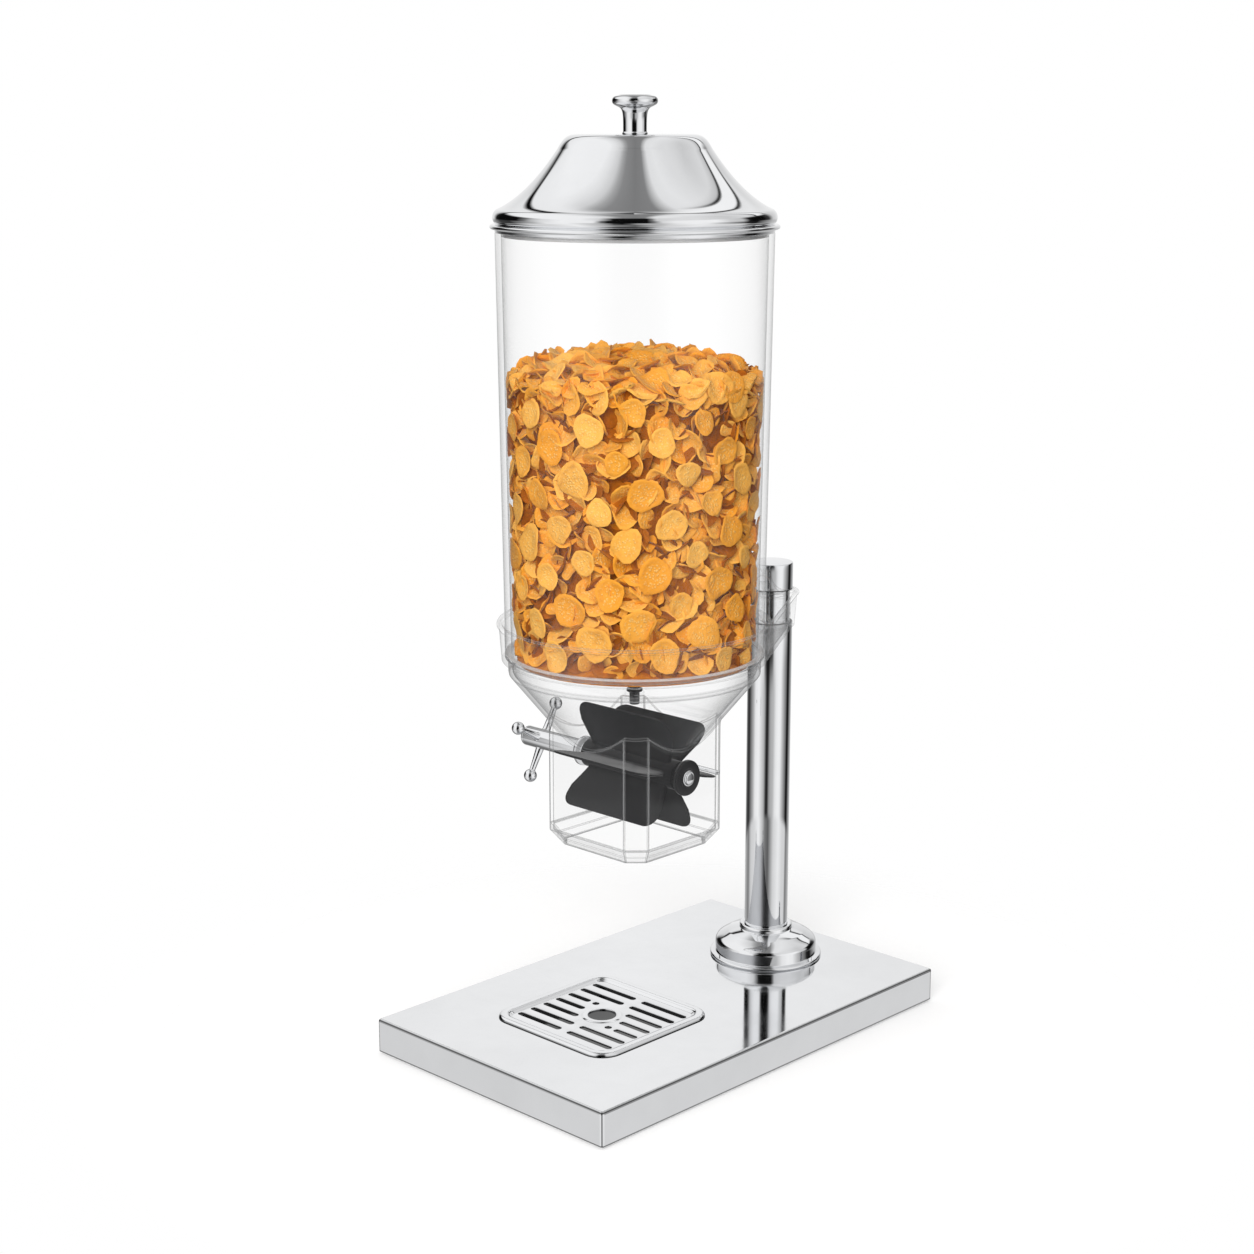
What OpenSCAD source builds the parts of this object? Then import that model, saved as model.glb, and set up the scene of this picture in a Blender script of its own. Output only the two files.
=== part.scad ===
// Single canister dispenser for dry food: post stand, clear hopper with a hand-turned paddle wheel,
// clear canister and spun lid. Millimetres, +Z up, front of the dispenser towards -Y,
// origin on the floor under the middle of the base box.

/* [Base] */
// Width of the base box, left to right
base_w = 220; // [219:1:240]
// Depth of the base box, front to back
base_d = 346; // [340:1:380]
// Height of the base box without its feet
base_h = 24; // [23:0.5:26]
// Gap that the feet leave under the base box
foot_gap = 1.5; // [1:0.25:2]
// Sheet thickness of the base box
base_sheet = 1.5; // [1:0.1:1.6]
// Rounding of the base box's edges
base_round = 2; // [1.5:0.5:4]
// Diameter of a rubber foot
foot_d = 24; // [18:1:28]
// Distance of a foot's centre from the nearest two sides of the base
foot_inset = 18; // [16:1:24]

/* [Crumb tray and grille] */
// Outer width of the tray's raised rim
tray_w = 111; // [105:1:116]
// Corner radius of the tray's rim
tray_r = 16; // [14:0.5:18]
// Height of the tray's rim above the base
rim_h = 3.2; // [2.8:0.1:4]
// Distance from the middle of the base to the tray's centre, towards the front
tray_front = 62; // [55:1:70]
// Rows of slots in the grille
slot_rows = 7; // [5:2:7]
// Distance between two rows of slots
slot_pitch = 12.3; // [11:0.1:12.5]
// Width of a slot
slot_w = 4.6; // [4:0.1:5]
// Diameter of the grille's finger hole
finger_d = 20; // [16:0.5:22]

/* [Post] */
// Outer diameter of the post tube
post_d = 32; // [31:0.5:34]
// Wall thickness of the post tube
post_wall = 1.5; // [1.2:0.1:2]
// Distance from the middle of the base to the post's axis, towards the back
post_back = 112.5; // [110:0.5:120]
// Height of the post's top above the floor
post_top = 324.5; // [320:0.5:332]
// Diameter of the post's turned foot
flange_d = 83; // [78:1:88]

/* [Ring and hopper] */
// Distance from the middle of the base to the canister's axis, towards the front
canister_front = 29.5; // [28:0.5:32]
// Height of the ring's lower edge above the floor
ring_z = 278; // [274:0.5:278]
// Height of the ring band
ring_h = 25.5; // [25:0.5:26]
// Outer diameter of the ring band at its top
ring_d = 184.8; // [184:0.2:187]
// Wall thickness of the clear mouldings
clear_wall = 2.5; // [2.2:0.1:2.7]
// Width of the square chamber
chamber_w = 95; // [94:0.5:96]
// Corner cut of the square chamber
chamber_cut = 12; // [10:0.5:13]
// Height of the chamber's outlet above the floor
outlet_z = 146.5; // [140:0.5:148]
// Height of the outlet's tapered collar
outlet_h = 11; // [8:0.5:12]
// Width by which the collar narrows on each side
outlet_taper = 8; // [5:0.5:9]

/* [Wheel and handle] */
// Height of the wheel's axis above the floor
wheel_z = 202; // [200:0.5:203]
// Radius of the wheel over its vanes
wheel_r = 41.8; // [38:0.1:41.8]
// Number of vanes
vanes = 6; // [4:1:8]
// Thickness of a vane
vane_t = 2.2; // [1.6:0.1:3]
// Angle of the first vane from straight down, towards the back
vane_start = -42; // [-60:1:60]
// Diameter of the drive shaft
shaft_d = 8; // [7:0.5:8]
// Diameter of the handle's hub
hub_d = 14.3; // [13:0.1:16]
// Distance of the arm balls' centres from the shaft's axis
arm_reach = 27.5; // [22:0.5:32]
// Diameter of a ball at an arm's end
ball_d = 9.3; // [8:0.1:11]
// Angle of the first arm from straight up, towards the back
arm_start = 28; // [0:1:90]

/* [Canister, food and lid] */
// Outer diameter of the canister at its foot
canister_d = 176; // [175:0.2:176.4]
// Outer diameter of the canister at its rim
canister_top_d = 183.6; // [182:0.2:185]
// Height of the canister's rim above the floor
canister_top = 564; // [540:1:580]
// Wall thickness of the canister
canister_wall = 4; // [3:0.1:4.2]
// Height of the food's edge above the floor
food_edge_z = 471; // [420:1:490]
// Height of the food's crown above its edge
food_crown = 17; // [8:1:22]
// Spacing of the main flakes that stand out of the food
flake_pitch = 31; // [26:1:40]
// Width of a flake
flake_size = 23; // [16:1:26]
// Height of the lid's flat top above the canister's rim
lid_h = 62.5; // [58:0.5:66]
// Sheet thickness of the lid
lid_sheet = 1.2; // [0.8:0.1:1.5]
// Height of the knob
knob_h = 25.2; // [22:0.2:28]
// Diameter of the knob's head
knob_d = 30; // [26:0.5:34]

/* [Hidden] */
$fn = 96;
eps = 0.01;

// gaps between pieces
rest_gap = 0.05;  // under a piece that only rests on another
run_gap = 0.05;   // radial, round a turning shaft
thread_gap = 0.05;
slip_gap = 0.4;   // round a piece that lifts out

// base
base_top = foot_gap + base_h;
plate_t = 2;
plate_z = foot_gap + 1.5;
standoff_d = 12;
m4_r = 2;
m4_head_r = 4;
foot_x = base_w / 2 - foot_inset;
foot_y = base_d / 2 - foot_inset;

// tray and grille
tray_half = tray_w / 2;
tray_wall = 1;
rim_w = 7;
tray_floor_z = plate_z + plate_t + 3;
well_half = tray_half - rim_w;
ledge_in = 3.9;
grille_t = 1.2;
grille_top = base_top + rim_h - 2.1;
ledge_top = grille_top - grille_t - rest_gap;
flat_half = well_half - 2.6;
boss_d = finger_d + 9;

// post
post_r = post_d / 2;
bore_r = post_r - post_wall;
neck_r = post_r - 2;
neck_z = post_top - 44;
neck_h = 25;
washer_t = 0.6;
shoulder_h = 2;
tie_r = 4;
nut_af = 13;
nut_h = 6.5;
tie_washer_t = 2;
backing_w = 70;
backing_t = 3;
backing_z = base_top - base_sheet - backing_t;

// ring and hopper
axis_y = -canister_front;
ring_r = ring_d / 2;
ring_flare = 1.8;
ring_foot_r = ring_r - ring_flare;
ring_bead_r = 1.9;
ledge_t = 2;
ledge_r = canister_d / 2 - 1.6;
sleeve_r = post_r + 3.4;
lip_z = ring_z + ledge_t;
lip_t = 2;
gasket_t = 1;
band_r = ledge_r - 0.2;
band_z = ring_z - 9.5;
chamber_half = chamber_w / 2;
cone_z = 234.7;
cone_r = 58.7;
cone_slope = (band_r - cone_r) / (band_z - cone_z);
cone_low = cone_z - (cone_r - chamber_half + 4) / cone_slope;
seam_z = cone_low - 2;
prism_top = cone_z + 3.3;
bridge_z = wheel_z + wheel_r + 3.2;
bridge_w = 8;
bridge_h = 5;
agitator_r = 3.5;
agitator_top = ring_z + 50;
wiper_r = 1.6;
wiper_y = axis_y + chamber_half - clear_wall - wiper_r - 0.2;
wiper_z = wheel_z - 7.5;
wiper_half = chamber_w - chamber_cut - (wiper_y - axis_y) - 0.3;

// wheel and handle, along X
shaft_r = shaft_d / 2;
bush_r = 6;
bush_flange_r = 10.5;
bush_flange_t = 2.5;
bush_step_r = 8.6;
bush_step_t = 2;
disc_r = 12.35;
disc_t = 2.8;
wheel_half = chamber_half - clear_wall - 1.6;
wheel_hub_r = 10;
vane_waist = 7;
vane_corner = 9;
hub_r = hub_d / 2;
hub_x = -(chamber_half + bush_flange_t + bush_step_t + 0.3);
hub_end_x = -104.8;
arm_x = -91;
arm_root_r = 2.85;
arm_tip_r = 2;
arms = 4;
stud_r = 2;
pin_r = 1.5;
screw_x = hub_x - 10;

// canister and lid
canister_z = lip_z + lip_t + gasket_t + rest_gap;
canister_r = canister_d / 2;
canister_top_r = canister_top_d / 2;
food_gap = 0.4;
flake_thick = 2.4;
flake_tilt = 13;
flake_depth = 5;
golden_turn = 180 * (3 - sqrt(5));
lid_z = canister_top + rest_gap;
lid_top = canister_top + lid_h;
bead_r = canister_top_r + 3.3;
bead_h = 8.2;
skirt_r = canister_top_r - canister_wall - 1.4;
skirt_h = 5.5;
seal_r = canister_top_r - canister_wall - 0.3;
lid_shoulder = 9;  // last point of the lid's flat top and shoulder in its line
knob_stem_r = 7.75;
screw_r = 2.5;

// points on an arc about [x, y] from angle a to angle b
function arc(x, y, r, a, b, steps = 6) =
    [for (i = [0:steps]) [x + r * cos(a + (b - a) * i / steps), y + r * sin(a + (b - a) * i / steps)]];

// points on a cubic curve between p and s with handles q and r
function curve(p, q, r, s, steps = 8) =
    [for (i = [0:steps]) let (t = i / steps, u = 1 - t)
        u * u * u * p + 3 * u * u * t * q + 3 * u * t * t * r + t * t * t * s];

// the same line moved by t to its right-hand side
function inset(line, t) = [for (i = [0:len(line) - 1])
    let (a = line[max(i - 1, 0)], b = line[min(i + 1, len(line) - 1)], d = (b - a) / norm(b - a))
        line[i] + t * [d[1], -d[0]]];

function unit(v) = v / norm(v);

// outer radius of the canister at a height
function canister_at(z) =
    canister_r + (canister_top_r - canister_r) * (z - canister_z) / (canister_top - canister_z);

// outer radius of the funnel at a height
function cone_at(z) = cone_r + (z - cone_z) * cone_slope;

module round_rect(w, d, r) {
    square([w - 2 * r, d], center = true);
    square([w, d - 2 * r], center = true);
    for (x = [-1, 1], y = [-1, 1])
        translate([x * (w / 2 - r), y * (d / 2 - r)])
            circle(r);
}

// sweeps a section round a rectangle with round corners; the section's x counts from the corners' centres
module frame_sweep(w, d, r) {
    for (i = [0:3]) {
        x = (i == 0 || i == 3) ? 1 : -1;
        y = i < 2 ? 1 : -1;
        run = (i % 2 == 0 ? d : w) - 2 * r;
        out = (i % 2 == 0 ? w : d) / 2 - r;
        translate([x * (w / 2 - r), y * (d / 2 - r), 0])
            rotate([0, 0, 90 * i])
                rotate_extrude(angle = 90)
                    children();
        rotate([0, 0, 90 * i])
            translate([out, run / 2, 0])
                rotate([90, 0, 0])
                    linear_extrude(run)
                        children();
    }
}

// outline of the square chamber: a square with cut corners
module cut_square(half, cut) {
    intersection() {
        square(2 * half, center = true);
        rotate(45)
            square(sqrt(2) * (2 * half - cut), center = true);
    }
}

// angle at the canister's axis, from straight back to where a tangent of both circles touches
function tangent_angle(big, small) = acos((big - small) / (post_back - axis_y));

// outline between the four points where the tangents of the two circles touch
module web(big, small) {
    a = tangent_angle(big, small);
    polygon([
        [big * sin(a), axis_y + big * cos(a)],
        [small * sin(a), post_back + small * cos(a)],
        [-small * sin(a), post_back + small * cos(a)],
        [-big * sin(a), axis_y + big * cos(a)]
    ]);
}

// sweeps a section along both tangents of the two circles; the section's x counts outwards from them
module along_tangents(big, small) {
    a = tangent_angle(big, small);
    for (side = [0, 1])
        mirror([side, 0, 0])
            at_post()
                rotate([0, 0, 90 - a])
                    translate([small, 0, 0])
                        rotate([90, 0, 0])
                            linear_extrude((post_back - axis_y) * sin(a))
                                children();
}

module at_post(z = 0) {
    translate([0, post_back, z])
        children();
}

module at_axis(z = 0) {
    translate([0, axis_y, z])
        children();
}

// children drawn along +Z come to lie along +X on the wheel's axis
module along_shaft(x = 0) {
    translate([x, axis_y, wheel_z])
        rotate([0, 90, 0])
            children();
}

module at_feet(z) {
    for (x = [-1, 1], y = [-1, 1])
        translate([x * foot_x, y * foot_y, z])
            children();
}

module tube(outer, inner, h) {
    difference() {
        cylinder(r = outer, h = h);
        translate([0, 0, -1])
            cylinder(r = inner, h = h + 2);
    }
}

// ---- stand

module base_shell() {
    r = base_round;
    t = base_sheet;
    color([0.82, 0.83, 0.85])
        difference() {
            union() {
                translate([0, 0, base_top - t])
                    linear_extrude(t)
                        square([base_w - 2 * r, base_d - 2 * r], center = true);
                frame_sweep(base_w, base_d, r)
                    polygon(concat(
                        [[0, base_top], [0, base_top - t], [r - t, base_top - t]],
                        [[r - t, foot_gap], [r, foot_gap]],
                        arc(0, base_top - r, r, 0, 90)
                    ));
            }
            translate([0, -tray_front, base_top - t - 1])
                linear_extrude(t + 2)
                    round_rect(2 * (well_half + tray_wall + slip_gap), 2 * (well_half + tray_wall + slip_gap),
                        tray_r - rim_w + tray_wall + slip_gap);
            at_post(base_top - t - 1)
                cylinder(r = tie_r + 0.5, h = t + 2);
        }
}

module base_plate() {
    w = base_w - 2 * base_sheet - 1;
    d = base_d - 2 * base_sheet - 1;
    color([0.6, 0.61, 0.63])
        difference() {
            translate([0, 0, plate_z])
                linear_extrude(plate_t)
                    round_rect(w, d, base_round);
            at_feet(plate_z - 1)
                cylinder(r = m4_r + 0.25, h = plate_t + 2);
        }
}

module base_standoffs() {
    z = plate_z + plate_t;
    color([0.7, 0.71, 0.73])
        at_feet(z)
            tube(standoff_d / 2, m4_r + thread_gap, base_top - base_sheet - z);
}

module base_feet() {
    color([0.08, 0.08, 0.08])
        at_feet(0)
            rotate_extrude()
                polygon(concat(
                    [[m4_r + 0.25, plate_z], [m4_r + 0.25, plate_z - 0.8], [m4_head_r + 0.6, plate_z - 0.8]],
                    [[m4_head_r + 0.6, 0], [foot_d / 2 - 0.8, 0], [foot_d / 2, 0.8], [foot_d / 2, plate_z]]
                ));
}

module foot_screws() {
    head_z = 0.4;
    head_h = plate_z - 0.8 - head_z;
    color([0.55, 0.56, 0.58])
        at_feet(head_z)
            difference() {
                union() {
                    cylinder(r = m4_head_r, h = head_h);
                    cylinder(r = m4_r, h = head_h + 12);
                }
                translate([0, 0, -1])
                    cylinder(r = 1.4, h = 2, $fn = 6);
            }
}

module post_backing_plate() {
    color([0.62, 0.63, 0.65])
        at_post(backing_z)
            difference() {
                linear_extrude(backing_t)
                    round_rect(backing_w, backing_w, 6);
                translate([0, 0, -1])
                    cylinder(r = tie_r + 0.5, h = backing_t + 2);
            }
}

module post_flange() {
    r = flange_d / 2;
    band = r - 4;
    collar = post_r + 3.6;
    in = post_r + thread_gap;
    color([0.85, 0.86, 0.88])
        at_post(base_top)
            rotate_extrude()
                polygon(concat(
                    [[in, 0], [r - 0.6, 0]],
                    arc(r - 1.2, 1.2, 1.2, -30, 90),
                    [[band, 2.9]],
                    curve([band, 10], [band, 13.6], [band - 4, 15.4], [band - 9.6, 18.6]),
                    [[collar + 1.6, 20.6], [collar, 21.2]],
                    arc(collar - 1.6, 22.9, 1.6, 0, 90),
                    [[in, 24.2]]
                ));
}

module post_tube() {
    color([0.85, 0.86, 0.88])
        at_post(base_top)
            tube(post_r, bore_r, neck_z - shoulder_h - base_top);
}

module tie_rod() {
    z = plate_z + plate_t + 4;
    color([0.6, 0.61, 0.63])
        at_post(z)
            cylinder(r = tie_r, h = neck_z - 17 - z);
}

module tie_washer() {
    color([0.7, 0.71, 0.73])
        at_post(backing_z - tie_washer_t)
            tube(10, tie_r + 0.2, tie_washer_t);
}

module tie_nut() {
    color([0.66, 0.67, 0.69])
        at_post(backing_z - tie_washer_t - nut_h)
            difference() {
                cylinder(r = nut_af / 2 / cos(30), h = nut_h, $fn = 6);
                translate([0, 0, -1])
                    cylinder(r = tie_r + thread_gap, h = nut_h + 2);
            }
}

module post_spigot() {
    plug_h = 28.5;
    color([0.83, 0.84, 0.86])
        at_post(neck_z)
            difference() {
                union() {
                    translate([0, 0, -plug_h - shoulder_h])
                        cylinder(r = bore_r - thread_gap, h = plug_h + eps);
                    translate([0, 0, -shoulder_h])
                        cylinder(r = post_r, h = shoulder_h);
                    cylinder(r = neck_r, h = neck_h);
                }
                translate([0, 0, -plug_h - shoulder_h - 1])
                    cylinder(r = tie_r + thread_gap, h = 19);
                translate([0, 0, neck_h - 14])
                    cylinder(r = tie_r + thread_gap, h = 15);
            }
}

module post_cap() {
    z = neck_z + neck_h;
    edge = 0.7;
    color([0.87, 0.88, 0.9])
        at_post()
            rotate_extrude()
                polygon(concat(
                    [[0, z - 12], [tie_r, z - 12], [tie_r, z], [post_r, z]],
                    arc(post_r - edge, post_top - edge, edge, 0, 90, 4),
                    [[0, post_top]]
                ));
}

module sleeve_washers() {
    color([0.15, 0.15, 0.16])
        for (z = [neck_z, neck_z + neck_h - washer_t])
            at_post(z)
                tube(post_r - 0.1, neck_r + 0.1, washer_t);
}

// ---- crumb tray and grille

module crumb_tray() {
    core = tray_half - tray_r;
    top = base_top + rim_h;
    low = base_top + rest_gap;
    out = tray_r;
    well = well_half - core;
    color([0.84, 0.85, 0.87])
        translate([0, -tray_front, 0]) {
            frame_sweep(tray_w, tray_w, tray_r)
                polygon(concat(
                    [[well + tray_wall, low], [out, low]],
                    arc(out - 2.6, top - 2.6, 2.6, 0, 90),
                    arc(well + 1.9, top - 1.9, 1.9, 90, 180),
                    [[well, ledge_top], [well - ledge_in, ledge_top], [well - ledge_in, ledge_top - 1]],
                    [[well, ledge_top - 1], [well, tray_floor_z], [well + tray_wall, tray_floor_z]]
                ));
            translate([0, 0, tray_floor_z])
                linear_extrude(1)
                    round_rect(2 * well_half + 1, 2 * well_half + 1, tray_r - rim_w + 0.5);
        }
}

// one row of the grille's slots; a row beside the finger hole is split or cut short at the boss
module slot_row(row) {
    y = row * slot_pitch;
    clear = boss_d / 2 + 1;
    inner = abs(y) < clear ? sqrt(clear * clear - y * y) + slot_w / 2 : 3.5;
    end = flat_half - 1;
    for (side = [-1, 1]) {
        split = abs(row) == 1 && side * row < 0;
        if (split)
            slot(side * (inner + 4), side * (inner + 9), y);
        slot(side * (split ? inner + 12.5 : inner), side * end, y);
    }
}

// a slot with round ends from x = a to x = b
module slot(a, b, y) {
    r = slot_w / 2;
    low = min(a, b) + r;
    high = max(a, b) - r;
    translate([low, y - r])
        square([high - low, slot_w]);
    for (x = [low, high])
        translate([x, y])
            circle(r, $fn = 24);
}

module tray_grille() {
    core = tray_half - tray_r;
    flat_x = flat_half - core;
    edge_x = well_half - 0.35 - core;
    bottom = grille_top - grille_t;
    color([0.86, 0.87, 0.89])
        translate([0, -tray_front, 0]) {
            difference() {
                union() {
                    translate([0, 0, bottom])
                        linear_extrude(grille_t)
                            round_rect(2 * flat_half, 2 * flat_half, flat_x);
                    translate([0, 0, grille_top])
                        cylinder(r1 = boss_d / 2, r2 = boss_d / 2 - 1, h = 0.6);
                }
                translate([0, 0, bottom - 1])
                    linear_extrude(grille_t + 2)
                        for (row = [-(slot_rows - 1) / 2:(slot_rows - 1) / 2])
                            slot_row(row);
                translate([0, 0, bottom - 1])
                    cylinder(r = finger_d / 2, h = grille_t + 4);
            }
            frame_sweep(2 * (core + tray_r), 2 * (core + tray_r), tray_r)
                polygon([
                    [flat_x - 0.6, bottom], [flat_x, bottom], [edge_x, grille_top + 0.2],
                    [edge_x, grille_top + 1.4], [flat_x, grille_top], [flat_x - 0.6, grille_top]
                ]);
        }
}

// ---- ring and hopper

// section of the ring's wall with its rim bead, from its outer top edge inwards, drawn thinner by trim
module ring_section(depth, trim = 0) {
    top = ring_z + ring_h;
    bead_z = top - ring_bead_r + 0.7;
    polygon(concat(
        [[-depth, ring_z + trim], [-ring_flare - trim, ring_z + trim], [-0.2 - trim, bead_z - ring_bead_r]],
        arc(-0.5, bead_z, ring_bead_r - trim, -45, 180, 8),
        [[trim - ring_bead_r - 0.5, top - 2 - trim], [-depth, top - 2 - trim]]
    ));
}

module bracket_ring() {
    top = ring_z + ring_h;
    floor_in = ring_flare + 0.8;
    inner = canister_r + slip_gap;
    inner_top = canister_at(top) + slip_gap;
    low = neck_z + washer_t + rest_gap;
    high = neck_z + neck_h - washer_t - rest_gap;
    neck_bore = neck_r + run_gap;
    color([0.86, 0.9, 0.92, 0.35])
        difference() {
            union() {
                at_axis()
                    rotate_extrude()
                        translate([ring_r, 0])
                            ring_section(ring_r - ledge_r + 1);
                at_post()
                    rotate_extrude()
                        translate([sleeve_r, 0])
                            ring_section(3);
                along_tangents(ring_r, sleeve_r)
                    ring_section(ring_flare + 1.3, 0.25);
                translate([0, 0, ring_z + 0.3])
                    linear_extrude(clear_wall)
                        web(ring_r - floor_in, sleeve_r - floor_in);
                at_post(ring_z)
                    cylinder(r = sleeve_r - 2.2, h = high - ring_z);
            }
            at_axis()
                rotate_extrude()
                    polygon([
                        [0, ring_z - 1], [ledge_r, ring_z - 1], [ledge_r, lip_z], [inner, lip_z],
                        [inner_top, top], [inner_top, top + 5], [0, top + 5]
                    ]);
            at_post()
                rotate_extrude()
                    polygon([
                        [0, ring_z - 1], [post_r + 0.15, ring_z - 1], [post_r + 0.15, low],
                        [neck_bore, low], [neck_bore, top + 5], [0, top + 5]
                    ]);
        }
}

// a long bar along Y whose half width grows from low_half at z = low to high_half at z = high
module wedge_bar(low_half, high_half, low, high) {
    rotate([90, 0, 0])
        linear_extrude(3 * chamber_w, center = true)
            polygon([[-low_half, low], [low_half, low], [high_half, high], [-high_half, high]]);
}

// outside of the square chamber with its tapered outlet, or with a wall's thickness its inside
module chamber_form(wall) {
    half = chamber_half - wall;
    cut = chamber_cut - wall * (2 - sqrt(2));
    diagonal = (2 * half - cut) / sqrt(2);
    narrow = 1 - outlet_taper / chamber_half;
    collar_top = outlet_z + outlet_h;
    low = outlet_z - wall;
    at_axis() {
        translate([0, 0, collar_top])
            linear_extrude(seam_z + wall - collar_top)
                cut_square(half, cut);
        intersection_for(side = [[0, half], [45, diagonal], [90, half], [135, diagonal]])
            rotate([0, 0, side[0]])
                wedge_bar(side[1] * narrow, side[1], low, collar_top);
    }
}

// outside of the funnel from its square throat to its round band, or with a wall's thickness its inside
module funnel_form(wall) {
    half = chamber_half - wall;
    cut = chamber_cut - wall * (2 - sqrt(2));
    shift = wall * 1.28;
    low = seam_z + rest_gap - wall;
    top = lip_z + lip_t + wall;
    at_axis() {
        rotate_extrude()
            polygon([
                [0, cone_low], [cone_at(cone_low) - shift, cone_low], [band_r - shift, band_z],
                [band_r - wall, band_z + wall], [band_r - wall, top], [0, top]
            ]);
        translate([0, 0, low])
            linear_extrude(prism_top - low)
                cut_square(half, cut);
    }
}

module hopper() {
    color([0.86, 0.9, 0.92, 0.35]) {
        difference() {
            funnel_form(0);
            funnel_form(clear_wall);
        }
        at_axis(lip_z)
            tube(canister_r + 0.3, band_r - clear_wall, lip_t);
    }
}

module hopper_bridge() {
    color([0.86, 0.9, 0.92, 0.35])
        difference() {
            union() {
                intersection() {
                    at_axis(bridge_z)
                        linear_extrude(bridge_h)
                            square([2 * band_r, bridge_w], center = true);
                    funnel_form(clear_wall + rest_gap);
                }
                at_axis(bridge_z)
                    cylinder(r = agitator_r + 3.2, h = bridge_h + 2);
            }
            at_axis(bridge_z - 1)
                cylinder(r = agitator_r + thread_gap, h = bridge_h + 4);
        }
}

module chamber() {
    color([0.86, 0.9, 0.92, 0.35])
        difference() {
            chamber_form(0);
            chamber_form(clear_wall);
            along_shaft(-chamber_half - 1)
                cylinder(r = bush_r + 0.1, h = chamber_w + 2);
            translate([-chamber_half, wiper_y, wiper_z])
                rotate([0, 90, 0])
                    cylinder(r = wiper_r + thread_gap, h = chamber_w);
        }
}

module seat_gasket() {
    color([0.9, 0.9, 0.88, 0.6])
        at_axis(lip_z + lip_t)
            tube(canister_r, canister_r - canister_wall, gasket_t);
}

module agitator_rod() {
    z = bridge_z - 2;
    collar_z = bridge_z + bridge_h + 2;
    r = agitator_r;
    color([0.1, 0.1, 0.11])
        at_axis()
            rotate_extrude()
                polygon(concat(
                    [[0, z], [r, z], [r, collar_z], [r + 2, collar_z]],
                    [[r + 2, collar_z + 2], [r, collar_z + 2]],
                    arc(0, agitator_top - r, r, 0, 90)
                ));
}

module wiper_rod() {
    tip = 0.8;
    color([0.8, 0.81, 0.83])
        translate([0, wiper_y, wiper_z])
            rotate([0, 90, 0])
                rotate_extrude()
                    polygon([
                        [0, -wiper_half], [wiper_r - tip, -wiper_half], [wiper_r, -wiper_half + tip],
                        [wiper_r, wiper_half - tip], [wiper_r - tip, wiper_half], [0, wiper_half]
                    ]);
}

module handle_bush() {
    in = shaft_r + run_gap;
    wall_x = bush_step_t + bush_flange_t;
    color([0.84, 0.85, 0.87])
        along_shaft(-chamber_half - wall_x)
            rotate_extrude()
                polygon([
                    [in, 0], [bush_step_r - 0.5, 0], [bush_step_r, 0.5], [bush_step_r, bush_step_t],
                    [bush_flange_r - 0.6, bush_step_t], [bush_flange_r, bush_step_t + 0.6],
                    [bush_flange_r, wall_x], [bush_r, wall_x],
                    [bush_r, wall_x + clear_wall], [in, wall_x + clear_wall]
                ]);
}

module end_bush() {
    in = shaft_r + run_gap;
    color([0.09, 0.09, 0.1])
        along_shaft(chamber_half - clear_wall)
            rotate_extrude()
                polygon(concat(
                    [[in, 0], [bush_r, 0], [bush_r, clear_wall], [disc_r, clear_wall]],
                    arc(disc_r - 0.8, clear_wall + disc_t - 0.8, 0.8, 0, 90, 4),
                    [[in, clear_wall + disc_t]]
                ));
}

// ---- wheel and handle

// one vane's outline, drawn from the axis outwards along +Y
module vane_outline() {
    w = wheel_half;
    c = vane_corner;
    polygon([
        [-(w - vane_waist), wheel_hub_r - 2], [w - vane_waist, wheel_hub_r - 2],
        [w, wheel_r - c - 6], [w, wheel_r - c], [w - c, wheel_r], [-(w - c), wheel_r],
        [-w, wheel_r - c], [-w, wheel_r - c - 6]
    ]);
    for (side = [-1, 1])
        translate([side * (w - c), wheel_r - c])
            circle(c);
}

module paddle_wheel() {
    color([0.13, 0.13, 0.14])
        translate([0, axis_y, wheel_z])
            difference() {
                union() {
                    rotate([0, 90, 0])
                        cylinder(r = wheel_hub_r, h = 2 * wheel_half, center = true);
                    for (i = [0:vanes - 1])
                        rotate([vane_start + i * 360 / vanes, 0, 0])
                            rotate([-90, 0, 0])
                                linear_extrude(vane_t, center = true)
                                    vane_outline();
                }
                rotate([0, 90, 0])
                    cylinder(r = shaft_r + thread_gap, h = 2 * wheel_half + 2, center = true);
                rotate([vane_start + 180 / vanes, 0, 0])
                    cylinder(r = pin_r + thread_gap, h = 3 * wheel_hub_r, center = true);
            }
}

module drive_shaft() {
    x0 = hub_x - 21;
    x1 = chamber_half + disc_t + 2;
    dome = 1;
    color([0.78, 0.79, 0.81])
        difference() {
            along_shaft()
                rotate_extrude()
                    polygon([
                        [0, x0], [shaft_r, x0], [shaft_r, x1 - dome], [shaft_r - dome, x1], [0, x1]
                    ]);
            translate([0, axis_y, wheel_z])
                rotate([vane_start + 180 / vanes, 0, 0])
                    cylinder(r = pin_r + thread_gap, h = 3 * shaft_r, center = true);
        }
}

module shaft_clip() {
    color([0.9, 0.9, 0.92])
        along_shaft(chamber_half + disc_t + 0.2)
            tube(shaft_r + 1.4, shaft_r + 0.03, 0.8);
}

module drive_pin() {
    color([0.7, 0.71, 0.73])
        translate([0, axis_y, wheel_z])
            rotate([vane_start + 180 / vanes, 0, 0])
                cylinder(r = pin_r, h = 2 * wheel_hub_r - 1, center = true);
}

// children drawn along +Z stand on the handle's hub, one at each arm
module at_arms() {
    for (i = [0:arms - 1])
        translate([arm_x, axis_y, wheel_z])
            rotate([-(arm_start + i * 360 / arms), 0, 0])
                children();
}

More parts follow.
